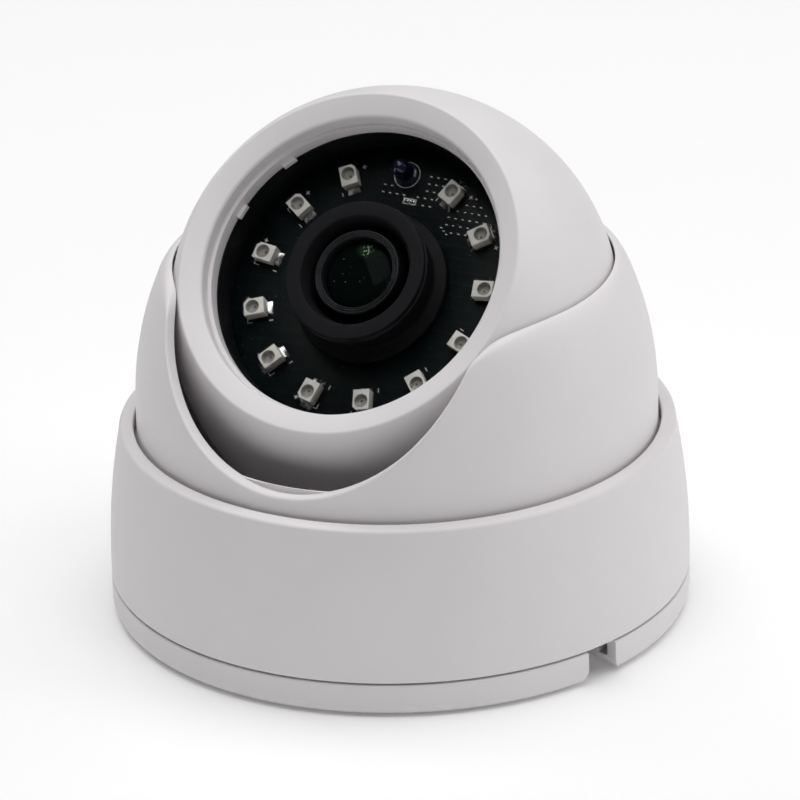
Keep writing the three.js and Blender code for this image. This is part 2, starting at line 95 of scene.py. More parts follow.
bpy.context.scene.camera = aim_camera(VIEW_TARGET, VIEW_AZIMUTH, VIEW_ELEVATION, VIEW_ROLL,
                                      VIEW_DISTANCE, lens=338)
print("camera at", [round(c, 3) for c in bpy.context.scene.camera.location])

# %% [markdown]
# ## Tools for turned pieces
# Nearly every piece of this object is round, so it is made as on a lathe: half of its outline is
# drawn, one point after another, and the outline is spun about the Z axis. Drawing it by
# extruding a single point is how it would be done by hand. The corners of an outline are given
# with a radius each, and a helper rounds them off, since no moulded edge is truly sharp.

# %% Outlines
def arc(centre_r, centre_z, radius, start, stop, steps):
    """Points on an arc, from one angle to another in degrees."""
    angles = [math.radians(start + (stop - start) * i / steps) for i in range(steps + 1)]
    return [(centre_r + radius * math.cos(a), centre_z + radius * math.sin(a)) for a in angles]


def sphere_arc(radius, from_z, to_z, steps):
    """Points on a circle about the origin, between two heights."""
    start, stop = (math.degrees(math.asin(z / radius)) for z in (from_z, to_z))
    return arc(0, 0, radius, start, stop, steps)


def softened(corners, steps=4, closed=True):
    """Round off an outline. Each corner is (r, z) or (r, z, radius of its rounding)."""
    outline = []
    count = len(corners)
    for i, corner in enumerate(corners):
        here = Vector(corner[:2])
        radius = corner[2] if len(corner) > 2 else 0
        ends_here = not closed and i in (0, count - 1)
        if radius == 0 or ends_here:
            outline.append(tuple(here))
            continue
        before = (Vector(corners[i - 1][:2]) - here).normalized()
        after = (Vector(corners[(i + 1) % count][:2]) - here).normalized()
        half = before.angle(after) / 2
        reach = radius / math.tan(half)
        first, last = here + before * reach, here + after * reach
        middle = here + (before + after).normalized() * (radius / math.sin(half))
        spread = (first - middle).angle_signed(last - middle)
        for k in range(steps + 1):
            arm = (first - middle).copy()
            arm.rotate(Matrix.Rotation(-spread * k / steps, 2))
            outline.append(tuple(middle + arm))
    return outline


# %% [markdown]
# `turned` draws and spins. A point is got by collapsing a plane to its centre. After the spin the
# first and last copies of the outline lie on each other and the poles are many points in one
# place, so doubles are merged, and only then are the normals made to point outwards.

# %% Spinning an outline
def start_piece(name):
    """Rename the object just added, and give its mesh the same name."""
    piece = bpy.context.object
    piece.name = name
    piece.data.name = name
    return piece


def outwards(threshold=2e-6):
    """In edit mode: merge what lies together and turn all faces outwards."""
    bpy.ops.mesh.select_all(action="SELECT")
    bpy.ops.mesh.remove_doubles(threshold=threshold)
    bpy.ops.mesh.normals_make_consistent(inside=False)


def turned(name, outline, sides=128, closed=True):
    """Turn a half outline, [(radius, height), ...] in mm, about the Z axis."""
    bpy.ops.object.select_all(action="DESELECT")
    bpy.ops.mesh.primitive_plane_add(size=MM)
    piece = start_piece(name)
    bpy.ops.object.mode_set(mode="EDIT")
    bpy.ops.mesh.merge(type="CENTER")
    path = [Vector((r, 0, z)) * MM for r, z in outline]
    if closed:
        path.append(path[0])
    bpy.ops.transform.translate(value=path[0])
    for before, after in zip(path, path[1:]):
        step = {"value": after - before}
        bpy.ops.mesh.extrude_region_move(TRANSFORM_OT_translate=step)
    if closed:
        bpy.ops.mesh.select_all(action="SELECT")
        bpy.ops.mesh.remove_doubles(threshold=2e-6)
    bpy.ops.mesh.select_all(action="SELECT")
    bpy.ops.mesh.spin(steps=sides, angle=math.tau, center=(0, 0, 0), axis=(0, 0, 1))
    outwards()
    bpy.ops.object.mode_set(mode="OBJECT")
    return piece


def smooth(piece, angle=32):
    """Shade a piece smooth, and keep its edges sharper than this angle."""
    bpy.ops.object.select_all(action="DESELECT")
    piece.select_set(True)
    bpy.context.view_layer.objects.active = piece
    bpy.ops.object.shade_smooth_by_angle(angle=math.radians(angle))
    return piece


# %% [markdown]
# Holes, notches and slots are cut with the Boolean modifier, and lugs are joined with it, each
# tool being its own small solid that is removed once the modifier is applied.

# %% Cutting and joining
def combine(piece, tools, operation):
    """Cut the tools from the piece, or join them to it."""
    for tool in tools:
        bpy.ops.object.select_all(action="DESELECT")
        piece.select_set(True)
        bpy.context.view_layer.objects.active = piece
        modifier = piece.modifiers.new("combine", "BOOLEAN")
        modifier.operation = operation
        modifier.solver = "EXACT"
        modifier.object = tool
        bpy.ops.object.modifier_apply(modifier=modifier.name)
        bpy.data.objects.remove(tool)
    return piece


def cut(piece, *tools):
    return combine(piece, tools, "DIFFERENCE")


def joined(piece, *tools):
    return combine(piece, tools, "UNION")


def bake_place(piece):
    """Put a piece's place, turn and size into its mesh."""
    bpy.ops.object.select_all(action="DESELECT")
    piece.select_set(True)
    bpy.context.view_layer.objects.active = piece
    bpy.ops.object.transform_apply(location=True, rotation=True, scale=True)
    return piece


def on_lens_axis(piece):
    """Lay a piece that was modelled upright onto the lens axis."""
    piece.location = BALL_CENTRE
    piece.rotation_euler = (LEAN, 0, 0)
    return bake_place(piece)


# %% [markdown]
# Bars, blocks and sectors start as a cube that is sized, moved and bevelled. `plate` extrudes a
# flat outline, which suits notches, slots and printed marks.

# %% Blocks and plates
def block(name, low, high, bevel=0.0, segments=2):
    """A box between two corners in mm, with its edges bevelled."""
    bpy.ops.object.select_all(action="DESELECT")
    low, high = Vector(low), Vector(high)
    bpy.ops.mesh.primitive_cube_add(size=1, location=(low + high) / 2 * MM)
    piece = start_piece(name)
    piece.scale = (high - low) * MM
    bake_place(piece)
    if bevel:
        bpy.ops.object.mode_set(mode="EDIT")
        bpy.ops.mesh.select_all(action="SELECT")
        bpy.ops.mesh.bevel(offset=bevel * MM, segments=segments, affect="EDGES")
        bpy.ops.object.mode_set(mode="OBJECT")
    return piece


def plate(name, outline, z0, z1, bevel=0.0):
    """A flat outline, [(x, y), ...] in mm, raised from z0 to z1."""
    bpy.ops.object.select_all(action="DESELECT")
    bpy.ops.mesh.primitive_circle_add(vertices=len(outline), radius=MM, fill_type="NGON")
    piece = start_piece(name)
    for corner, (x, y) in zip(piece.data.vertices, outline):
        corner.co = Vector((x, y, z0)) * MM
    bpy.ops.object.mode_set(mode="EDIT")
    bpy.ops.mesh.select_all(action="SELECT")
    lift = {"value": (0, 0, (z1 - z0) * MM)}
    bpy.ops.mesh.extrude_region_move(TRANSFORM_OT_translate=lift)
    outwards(threshold=1e-7)
    if bevel:
        bpy.ops.mesh.bevel(offset=bevel * MM, segments=2, affect="EDGES")
    bpy.ops.object.mode_set(mode="OBJECT")
    return piece


def rod(name, radius, z0, z1, x=0.0, y=0.0, sides=32, bevel=0.0):
    """A round post or hole along Z."""
    edge = bevel
    outline = softened([(0, z0), (radius, z0, edge), (radius, z1, edge), (0, z1)], closed=False)
    piece = turned(name, outline, sides, closed=False)
    piece.location = Vector((x, y, 0)) * MM
    return bake_place(piece)


def sector(name, r_in, r_out, angle, span, z0, z1, steps=8):
    """Part of a flat ring, centred on an angle in degrees."""
    outer = arc(0, 0, r_out, angle - span / 2, angle + span / 2, steps)
    inner = arc(0, 0, r_in, angle + span / 2, angle - span / 2, steps)
    return plate(name, outer + inner, z0, z1)


pieces_made = []


def finish_piece(piece, body, material_slot, *replaced, angle=32):
    """Shade a piece, and tell the frame what it rides on and stands for; its material slot is not
    used.
    """
    smooth(piece, angle)
    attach(piece, body)
    if replaced:
        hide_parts(*replaced)
    pieces_made.append(piece)
    size = ", ".join(f"{side / MM:.1f}" for side in piece.dimensions)
    print(f"{piece.name}: {len(piece.data.polygons)} faces, {size} mm")
    return piece


# %% [markdown]
# ## The mounting base
# The base is the white dish that is screwed to the ceiling. It could be a cylinder with an inset,
# but its lower edge is well rounded and its upright wall is thin, so one outline is spun. The
# notch in the rim lets the lead out sideways: straight sides, and lower corners that flare.

# %% Base outline
BASE_R, PARTING_Z, FLOOR = 48.0, 5.8, 2.4
SPIGOT_R, SPIGOT_TOP = 44.0, 25.6
NOTCH_ANGLE, NOTCH_WIDTH, NOTCH_FLARE = -20.6, 6.1, 2.7

base = turned("mounting_base_shell", softened([
    (0, 0), (BASE_R, 0, 2.1), (BASE_R, PARTING_Z - 0.2, 0.35), (46, PARTING_Z - 0.2, 0.2),
    (46, FLOOR, 0.4), (SPIGOT_R, FLOOR, 0.4), (SPIGOT_R, SPIGOT_TOP, 0.3),
    (42.2, SPIGOT_TOP, 0.3), (42.2, FLOOR, 0.6), (0, FLOOR),
], steps=5, closed=False), sides=192, closed=False)


def notch_cutter():
    half, top = NOTCH_WIDTH / 2, PARTING_Z + 0.3
    corner = arc(half + NOTCH_FLARE, NOTCH_FLARE, NOTCH_FLARE, -90, -180, 8)
    right = [(half + NOTCH_FLARE, -1), *corner, (half, top)]
    outline = right + [(-x, y) for x, y in reversed(right)]
    cutter = plate("notch_cutter", outline, 38, 50)
    cutter.rotation_euler = (math.pi / 2, 0, math.pi / 2)
    bake_place(cutter)
    cutter.rotation_euler = (0, 0, math.radians(NOTCH_ANGLE))
    return bake_place(cutter)


# %% [markdown]
# The three hooks' lugs stand on the upright wall, and the floor has three screw holes and one
# large hole in the middle for the lead.

# %% Base details
LUG_ANGLES, LUG_SPAN = (30, 150, 270), 14
HOLE_ANGLES, HOLE_CIRCLE = (35, 155, 275), 33


def at_angles(angles, radius):
    return [(radius * math.cos(math.radians(a)), radius * math.sin(math.radians(a)))
            for a in angles]


lugs = [sector("lug", 43.5, 45.3, a, LUG_SPAN, 9.4, 11.6) for a in LUG_ANGLES]
pan_stop = sector("pan_stop", 40.6, 42.8, 90, 5.7, 20, SPIGOT_TOP - 0.1)
joined(base, *lugs, pan_stop)
holes = [rod("hole", 2.3, -1, FLOOR + 1, x, y) for x, y in at_angles(HOLE_ANGLES, HOLE_CIRCLE)]
cut(base, rod("lead_hole", 8, -1, FLOOR + 1, sides=64), *holes, notch_cutter())
finish_piece(base, "base", "white_plastic", "mounting_base")

# %% [markdown]
# ## The cover ring
# The cover ring drops over the shroud and clamps it down. Its side leans in along a very large
# arc, its top edge is rounded, and it slopes a little up towards the mouth. A thin shadow line is
# left where it meets the base.

# %% Cover ring
ring_side = arc(BASE_R - 118, 9, 118, 0, 10.3, 12)
ring = turned("cover_ring_shell", softened([
    (45.95, PARTING_Z + 0.1, 0.2), (BASE_R, PARTING_Z + 0.1, 0.4), *ring_side,
    (45.85, 31.75, 0.75), (43.5, 32.2, 0.35), (43.5, 29.2, 0.1), (44.6, 29.2), (45, 27),
    (45.7, 18),
], steps=5), sides=192)
hooks = [sector("hook", 44.4, 46.4, a, LUG_SPAN, 7, 9) for a in LUG_ANGLES]
joined(ring, *hooks)
finish_piece(ring, "cover_ring", "white_plastic", "cover_ring")

# %% [markdown]
# ## The shroud
# The shroud holds the eyeball from above and dips at the front so that the lens can look out.
# Cutting the dip with a Boolean would leave long thin faces along a curve that should catch the
# light softly. So the shroud starts as a flat grid: its columns are wrapped round the Z axis and
# bunched along the dip, and each column runs once round the wall's section, over the rounded
# edge. The dip seen from the front is a round bottom whose sides flow out into the level rim.

# %% The dip and the wall
SHROUD_R, BULGE, UPRIGHT, RIM_Z, WALL = 43.0, 55.7, 36.0, 60.0, 2.3
DIP_R, DIP_Z, DIP_RISE, RIM_REACH = 27.8, 62.8, 6.9, 35.8
NECK_R = 36.15


def mix(a, b, share):
    return a + (b - a) * share


def eased(share):
    share = min(1.0, max(0.0, share))
    return share * share * (3 - 2 * share)


def outer_radius(z):
    rise = max(0.0, z - UPRIGHT)
    return SHROUD_R - BULGE + math.sqrt(BULGE ** 2 - rise ** 2)


def inner_radius(z, front):
    """Inner wall. Away from the front it is opened out, to let the yoke swing."""
    plain = max(NECK_R, outer_radius(z) - WALL - 0.3 * (1 - eased((z - 34) / 8)))
    opened = max(plain, 38.75) if z < 55 else max(plain, mix(38.75, NECK_R, eased((z - 55) / 4)))
    return mix(opened, plain, front)


def dip_edge(bottom_steps=72, shoulder_steps=14):
    """One half of the dip's edge, from the middle outwards: (x, z, share of level rim)."""
    leave = math.acos(DIP_RISE / DIP_R)
    half = []
    for i in range(bottom_steps + 1):
        a = leave * i / bottom_steps
        half.append((DIP_R * math.sin(a), DIP_Z - DIP_R * math.cos(a), 0.0))
    start, last = Vector(half[-1][:2]), Vector((RIM_REACH, RIM_Z))
    control = Vector((start.x + 1.1, RIM_Z - 0.4))
    for i in range(1, shoulder_steps + 1):
        t = i / shoulder_steps
        spot = start.lerp(control, t).lerp(control.lerp(last, t), t)
        half.append((spot.x, spot.y, eased(t)))
    return half


# %% [markdown]
# Each column is one closed loop: flange, outer wall, rounded outer edge, the band that the cut
# leaves, a smaller inner rounding, and the inner wall. Near the dip the band runs straight back,
# as a flat cut would leave it. Along the rim it runs inwards and its rounding is much larger.

# %% Columns of the shroud
def column_angles():
    """(angle from the front, edge height, share of level rim), once round the shroud."""
    right = [(math.asin(x / outer_radius(z)), z, level) for x, z, level in dip_edge()]
    left = [(-angle, z, level) for angle, z, level in right[:0:-1]]
    start, stop = right[-1][0], math.tau - right[-1][0]
    count = 110
    back = [(start + (stop - start) * i / count, RIM_Z, 1.0) for i in range(1, count)]
    return left + right + back


def around_axis(radius, angle, z):
    return Vector((radius * math.sin(angle), -radius * math.cos(angle), z))


def bend(first, corner, last, steps):
    """Points on a smooth curve from first to last that rounds off the corner."""
    shares = [i / steps for i in range(steps + 1)]
    return [first.lerp(corner, t).lerp(corner.lerp(last, t), t) for t in shares]


def shroud_column(index, columns):
    angle, z, level = columns[index]
    count = len(columns)
    front = 1 - eased((abs(math.remainder(angle, math.tau)) - 1.05) / 0.25)
    corner = around_axis(outer_radius(z), angle, z)
    along = (around_axis(outer_radius(columns[(index + 1) % count][1]),
                         *columns[(index + 1) % count][:2])
             - around_axis(outer_radius(columns[index - 1][1]), *columns[index - 1][:2]))
    radial = Vector((math.sin(angle), -math.cos(angle), 0.35)).normalized()
    away = along.cross(radial).normalized()
    away *= -1 if away.z > 0 else 1
    low = corner + away * mix(0.8, 3.2, level)
    spread = math.hypot(low.x, low.y)
    low = Vector((low.x / spread, low.y / spread, 0)) * outer_radius(low.z) + Vector((0, 0, low.z))
    r_in = inner_radius(z, front)
    straight_back = math.asin(max(-1.0, min(1.0, corner.x / r_in))) if level < 1 else angle
    inner_angle = mix(straight_back, angle, level)
    inside = around_axis(r_in, inner_angle, z)
    band = inside - corner
    band_start = corner + band * mix(0.32, 0.8, level)
    band_end = inside - band * mix(0.12, 0.08, level)
    under_z = z - mix(0.3, 0.4, level)
    under = around_axis(inner_radius(under_z, front), inner_angle, under_z)
    low_angle = math.atan2(low.x, -low.y)
    near = low_angle + math.tau * round((angle - low_angle) / math.tau)
    outside = []
    for i in range(1, 15):
        height = mix(28.8, low.z, i / 15)
        outside.append(around_axis(outer_radius(height), mix(angle, near, eased(i / 15)), height))
    inner = []
    for i in range(1, 9):
        height = mix(under_z, 36, i / 8)
        turn = mix(inner_angle, angle, eased(i / 8))
        inner.append(around_axis(inner_radius(height, front) if i < 8 else 41, turn, height))
    flange = [(41, 26.5), (41.2, 26.3), (44.1, 26.3), (44.3, 26.5), (44.3, 28.6), (44.1, 28.8),
              (43, 28.8)]
    return ([around_axis(r, angle, h) for r, h in flange] + outside
            + bend(low, corner, band_start, 6) + [corner + band * mix(0.6, 0.86, level)]
            + bend(band_end, inside, under, 3) + inner)


# %% [markdown]
# The grid's points are dropped into place, the two seams are merged, and the slots in which the
# eyeball's pins hang and the tab that stops the shroud from turning for ever are added.

# %% Shroud
def rolled_sheet(name, loops):
    """A tube-like solid from closed loops of points in mm, made from a flat grid."""
    across, along = len(loops), len(loops[0])
    bpy.ops.object.select_all(action="DESELECT")
    bpy.ops.mesh.primitive_grid_add(x_subdivisions=across, y_subdivisions=along, size=1)
    piece = start_piece(name)
    for point in piece.data.vertices:
        i = round((point.co.x + 0.5) * across) % across
        j = round((point.co.y + 0.5) * along) % along
        point.co = loops[i][j] * MM
    bpy.ops.object.mode_set(mode="EDIT")
    outwards(threshold=1e-6)
    bpy.ops.object.mode_set(mode="OBJECT")
    return piece


shroud_columns = column_angles()
shroud = rolled_sheet("shroud_shell", [shroud_column(i, shroud_columns)
                                       for i in range(len(shroud_columns))])
pan_tab = sector("pan_tab", 40.9, 42.4, -90, 5.7, 22, 27)
pin_slots = [block("pin_slot", (-39.9 if s < 0 else 37, -2.2, 40), (-37 if s < 0 else 39.9, 2.2, 52.9),
                   bevel=0.4) for s in (-1, 1)]
cut(joined(shroud, pan_tab), *pin_slots)
finish_piece(shroud, "shroud", "white_plastic", "shroud", angle=40)

# %% [markdown]
# ## The eyeball's shells
# Two shells make the eyeball. The front one is a sphere cut flat for the bezel, with a shallow
# slope down to a round opening, a ledge that the window lies on, and two small tabs below it.
# The rear one is a bowl with three screw pockets and the hole for the hollow pivot.

# %% Front shell
INNER_R = BALL_R - 2.2
FACE_H, OPENING_R, SEAM_H = 22.3, 25.5, -9.0
FACE_EDGE_R = math.sqrt(BALL_R ** 2 - FACE_H ** 2)
LEDGE_R, LEDGE_TOP, LEDGE_UNDER = 24.9, 18.8, 16.2
BOSS_ANGLES, BOSS_CIRCLE = (30, 150, 270), 30.3

front = turned("ball_front", softened([
    *sphere_arc(BALL_R, SEAM_H + 0.15, FACE_H - 0.55, 40), (FACE_EDGE_R - 0.05, FACE_H, 0.45),
    (OPENING_R + 0.15, FACE_H - 1.05, 0.75), (OPENING_R, LEDGE_TOP), (LEDGE_R, LEDGE_TOP, 0.1),
    (LEDGE_R, LEDGE_UNDER, 0.1), (27.4, LEDGE_UNDER), (27.4, 9), (28.8, 9), (28.8, 16.5),
    *sphere_arc(INNER_R, 16.6, SEAM_H, 16), (BALL_R * math.cos(math.asin(SEAM_H / BALL_R)) - 0.2,
                                             SEAM_H),
], steps=6), sides=192)
tabs = [sector("tab", 24.3, LEDGE_R + 0.4, a, 5.7, LEDGE_UNDER, LEDGE_UNDER + 0.9)
        for a in (137, 163)]
bosses = [rod("boss", 3, SEAM_H + 0.05, 10, x, y) for x, y in at_angles(BOSS_ANGLES, BOSS_CIRCLE)]
pilots = [rod("pilot", 1.45, SEAM_H - 1, 1, x, y) for x, y in at_angles(BOSS_ANGLES, BOSS_CIRCLE)]
cut(joined(front, *tabs, *bosses), *pilots)
on_lens_axis(front)
finish_piece(front, "eyeball", "white_plastic", "ball_front_shell")

# %% Rear shell
REAR_TOP = SEAM_H - 0.3
pocket_edge = -math.sqrt(BALL_R ** 2 - 7.6 ** 2)
rear = turned("ball_rear", softened([
    (4.1, -35, 0.2), (7.4, -35, 0.2), *sphere_arc(BALL_R, pocket_edge - 0.02, REAR_TOP - 0.1, 32),
    (BALL_R * math.cos(math.asin(REAR_TOP / BALL_R)) - 0.15, REAR_TOP),
    *sphere_arc(INNER_R, REAR_TOP, -32.6, 20), (4.1, -32.6),
], steps=4), sides=160)
on_circle = at_angles(BOSS_ANGLES, BOSS_CIRCLE)
rear_bosses = [rod("rear_boss", 3.6, -19, REAR_TOP - 0.05, x * 0.97, y * 0.97) for x, y in on_circle]
shanks = [rod("shank_hole", 1.5, -30, 0, x, y) for x, y in on_circle]
pockets = [rod("pocket", 2.9, -40, -13, x, y) for x, y in on_circle]
cut(joined(rear, *rear_bosses), *shanks, *pockets)
on_lens_axis(rear)
finish_piece(rear, "eyeball", "white_plastic", "ball_rear_shell")

# %% [markdown]
# ## Window, baffle and lamp board
# The window is a clear disc with polished edges. Behind it a black ring keeps stray light away
# from the gap round the board. The board is a thin black laminate with a wide hole for the lens.

# %% Window, baffle and board
window = turned("window_disc", softened([
    (0, 19.1), (OPENING_R - 0.35, 19.1, 0.12), (OPENING_R - 0.35, 20.2, 0.12), (0, 20.2),
], steps=3, closed=False), sides=160, closed=False)
finish_piece(on_lens_axis(window), "eyeball", "clear_acrylic", "front_window")

baffle = turned("baffle_ring", softened([
    (26.2, 8.4), (27, 8.4), (27, 15.9, 0.2), (24.9, 15.9, 0.2), (24.6, 10.7, 0.1), (26.2, 10.7),
], steps=3), sides=128)
finish_piece(on_lens_axis(baffle), "eyeball", "black_plastic", "light_baffle")

BOARD_TOP, BOARD_UNDER, BOARD_R, BOARD_HOLE_R = 10.3, 8.7, 25.9, 8.6
board = turned("lamp_board_disc", softened([
    (BOARD_HOLE_R, BOARD_UNDER), (BOARD_R, BOARD_UNDER), (BOARD_R, BOARD_TOP, 0.08),
    (BOARD_HOLE_R, BOARD_TOP, 0.08),
], steps=2), sides=128)
finish_piece(on_lens_axis(board), "eyeball", "board_laminate", "lamp_board")

# %% [markdown]
# The board carries thirteen places on one circle, one for the light sensor and twelve for lamps.
# Everything printed or soldered on it is low: white marks, bright lands with a bead of solder, and
# rows of small plated holes. They are thin plates that stand a few hundredths of a millimetre
# above the black coating, which is enough to catch the light as real print and solder do.

# %% Places on the board
LAMP_CIRCLE, PLACES = 20.0, 13
SKIN = 0.03


def place_angle(place):
    return 90 - place * 360 / PLACES


def on_board(pieces, angle, radius=LAMP_CIRCLE):
    """Turn pieces drawn at the origin, with +X outwards, and move them out along their angle."""
    a = math.radians(angle)
    for piece in pieces:
        piece.rotation_euler = (0, 0, a)
        piece.location = Vector((radius * math.cos(a), radius * math.sin(a), 0)) * MM
        bake_place(piece)
    return pieces


def one_object(name, parts):
    """Join several objects into one, each part staying a closed body of its own."""
    bpy.ops.object.select_all(action="DESELECT")
    for part in parts:
        part.select_set(True)
    bpy.context.view_layer.objects.active = parts[0]
    bpy.ops.object.join()
    return start_piece(name)


def bar(x0, x1, y0, y1, height=SKIN, bevel=0.0):
    return block("bar", (x0, y0, BOARD_TOP - 0.01), (x1, y1, BOARD_TOP + height), bevel)


# %% Printed marks
def plus_mark(x, y, size=0.36, width=0.14):
    return [bar(x - size, x + size, y - width / 2, y + width / 2),
            bar(x - width / 2, x + width / 2, y - size, y + size)]


marks = []
for place in range(1, PLACES):
    first = plus_mark(1.55, -2.4)
    dash = bar(-2.5, -1.8, 2.05, 2.18)
    corner = [bar(1.0, 1.9, 1.85, 1.95), bar(1.85, 1.95, 1.2, 1.9)]
    marks += on_board(first + [dash] + corner, place_angle(place))
frame_x, frame_y = 1.78, 15.62
for cell in (-0.55, 0.55):
    left, right = frame_x + cell - 0.62, frame_x + cell + 0.62
    low, high = frame_y - 0.5, frame_y + 0.5
    marks += [bar(left, right, low, low + 0.14), bar(left, right, high - 0.14, high),
              bar(left, left + 0.14, low, high), bar(right - 0.14, right, low, high)]
print_marks = one_object("board_print", marks)
finish_piece(on_lens_axis(print_marks), "eyeball", "connector_white")

# %% [markdown]
# The small plated holes sit on a 1.27 mm grid between the sensor and the lamps on its right, and
# on a few spots to its left. Each is filled with solder that shows as a short bright dash, so a
# low bar with a few faces is enough.

# %% Plated holes
GRID = 1.27
lamp_spots = at_angles([place_angle(p) for p in range(PLACES)], LAMP_CIRCLE)


def clear_of_lamps(x, y, distance=2.65):
    return all(math.hypot(x - lx, y - ly) > distance for lx, ly in lamp_spots)


def hole_spots():
    """Grid points in a band to the right of the sensor, and a short row to its left."""
    spots = []
    for i in range(-7, 14):
        for j in range(0, 12):
            x, y = 4.27 + GRID * i, 20.37 - GRID * j
            reach, turn = math.hypot(x, y), math.degrees(math.atan2(x, y))
            right = 15.6 < reach < 22.4 and 10 < turn < 49 and (turn < 20 or turn > 33)
            left = 16.2 < reach < 18.6 and -14 < turn < 2
            if (right or left) and clear_of_lamps(x, y):
                spots.append((x, y))
    return spots


vias = []
for x, y in hole_spots() + [(9.8, 11.1), (9.2, 11.6), (8.6, 12.1)]:
    vias.append(bar(x - 0.2, x + 0.2, y - 0.07, y + 0.07))
print(len(vias), "plated holes")
vias = one_object("board_plated_holes", vias)
finish_piece(on_lens_axis(vias), "eyeball", "steel")

# %% [markdown]
# ## The lamps
# Each lamp is a small ivory package with one corner cut off, a round well full of clear resin, a
# dark die at the bottom of the well, and a silver lead bent under each end that sits in solder.
# The package is a plate with bevelled edges and the well is cut from it with a turned tool. The
# parts keep their own finishes, and are joined into one object for each lamp.

# %% One lamp
LAMP_LONG, LAMP_WIDE, LAMP_TALL = 3.5, 2.8, 2.1
WELL_X, WELL_R = 0.25, 1.17
LAMP_FOOT = BOARD_TOP + 0.06


def lamp_package(name):
    x, y, chamfer = LAMP_LONG / 2, LAMP_WIDE / 2, 0.6
    z0, z1 = LAMP_FOOT + 0.1, LAMP_FOOT + LAMP_TALL
    outline = [(-x, -y), (x - chamfer, -y), (x, -y + chamfer), (x, y), (-x, y)]
    body = plate(name, outline, z0, z1, bevel=0.07)
    well = turned("well", softened([(0, z1 - 0.95), (0.8, z1 - 0.95, 0.15), (WELL_R, z1 - 0.1),
                                    (WELL_R, z1 + 0.2), (0, z1 + 0.2)], closed=False),
                  sides=32, closed=False)
    well.location.x = WELL_X * MM
    groove = [block("groove", (-x - 1, s * y - 0.06, z0 + 0.75), (x + 1, s * y + 0.06, z0 + 0.87))
              for s in (-1, 1)]
    return cut(body, bake_place(well), *groove)


def lamp_resin(name):
    z1 = LAMP_FOOT + LAMP_TALL
    hollow = [(WELL_R * k, z1 - 0.34 + 0.26 * k ** 2) for k in (0.95, 0.8, 0.6, 0.4, 0.2, 0)]
    fill = turned(name, [(0, z1 - 0.94), (0.72, z1 - 0.92), (WELL_R - 0.06, z1 - 0.14)] + hollow,
                  sides=32, closed=False)
    fill.location.x = WELL_X * MM
    return bake_place(fill)


def lamp_leads(name):
    x, y = LAMP_LONG / 2, 1.05
    parts = []
    for s in (-1, 1):
        foot = block("lead", (min(s * (x - 0.9), s * (x + 0.12)), -y, LAMP_FOOT - 0.04),
                     (max(s * (x - 0.9), s * (x + 0.12)), y, LAMP_FOOT + 0.08), bevel=0.03)
        leg = block("leg", (min(s * (x + 0.01), s * (x + 0.14)), -y, LAMP_FOOT - 0.04),
                    (max(s * (x + 0.01), s * (x + 0.14)), y, LAMP_FOOT + 0.8), bevel=0.04)
        parts += [foot, leg]
    return one_object(name, parts)


def solder_bead(name):
    """Solder at each end of a lamp: a low slope from the lead down to the board."""
    x, parts = LAMP_LONG / 2 + 0.15, []
    for s in (-1, 1):
        bead = block(name, (-0.45, -1.15, BOARD_TOP - 0.01), (0.45, 1.15, BOARD_TOP + 0.6))
        for point in bead.data.vertices:
            if point.co.x * s > 0 and point.co.z > (BOARD_TOP + 0.3) * MM:
                point.co.z = (BOARD_TOP + 0.08) * MM
            elif point.co.z > (BOARD_TOP + 0.3) * MM:
                point.co.y *= 0.8
        bead.location.x = s * (x + 0.3) * MM
        bake_place(bead)
        rounding = bead.modifiers.new("round", "BEVEL")
        rounding.width, rounding.segments = 0.16 * MM, 3
        bpy.ops.object.modifier_apply(modifier=rounding.name)
        parts.append(bead)
    return one_object(name, parts)


# %% [markdown]
# The finishes come next, because a lamp's parts need theirs before they are joined.
#
# ## Finishes
# Moulded plastic isn't smooth: the mould is spark-eroded, which leaves a fine even grain, and a
# broad unevenness in gloss where the plastic flowed. Both come from one node group, so that every
# plastic can use it at its own scale. It reads Object coordinates, in metres.

# %% Group: moulded grain
def new_group(name, inputs, outputs):
    """A shader node group with float inputs (name: default) and named outputs."""
    group = bpy.data.node_groups.new(name, "ShaderNodeTree")
    for label, value in inputs.items():
        kind = "NodeSocketVector" if value is None else "NodeSocketFloat"
        socket = group.interface.new_socket(name=label, in_out="INPUT", socket_type=kind)
        if value is not None:
            socket.default_value = value
    for label in outputs:
        group.interface.new_socket(name=label, in_out="OUTPUT", socket_type="NodeSocketFloat")
    return group, group.nodes.new("NodeGroupInput"), group.nodes.new("NodeGroupOutput")


def add_node(tree, kind, **settings):
    node = tree.nodes.new(kind)
    for key, value in settings.items():
        setattr(node, key, value)
    return node


def noise(tree, vector, scale, detail, roughness=0.5):
    """A noise texture. Scale is a number, or a socket to read it from."""
    node = add_node(tree, "ShaderNodeTexNoise")
    node.inputs["Detail"].default_value = detail
    node.inputs["Roughness"].default_value = roughness
    tree.links.new(vector, node.inputs["Vector"])
    if isinstance(scale, (int, float)):
        node.inputs["Scale"].default_value = scale
    else:
        tree.links.new(scale, node.inputs["Scale"])
    return node.outputs["Fac"]


def sum_up(tree, operation, first, second, clamp=False):
    """A Math node. Each input is a socket or a number."""
    node = add_node(tree, "ShaderNodeMath", operation=operation, use_clamp=clamp)
    for socket, value in zip(node.inputs, (first, second)):
        if isinstance(value, (int, float)):
            socket.default_value = value
        else:
            tree.links.new(value, socket)
    return node.outputs[0]


def ramp(tree, value, low, high, to_low=0.0, to_high=1.0):
    node = add_node(tree, "ShaderNodeMapRange", interpolation_type="SMOOTHSTEP")
    tree.links.new(value, node.inputs["Value"])
    for label, number in (("From Min", low), ("From Max", high), ("To Min", to_low),
                          ("To Max", to_high)):
        node.inputs[label].default_value = number
    return node.outputs["Result"]


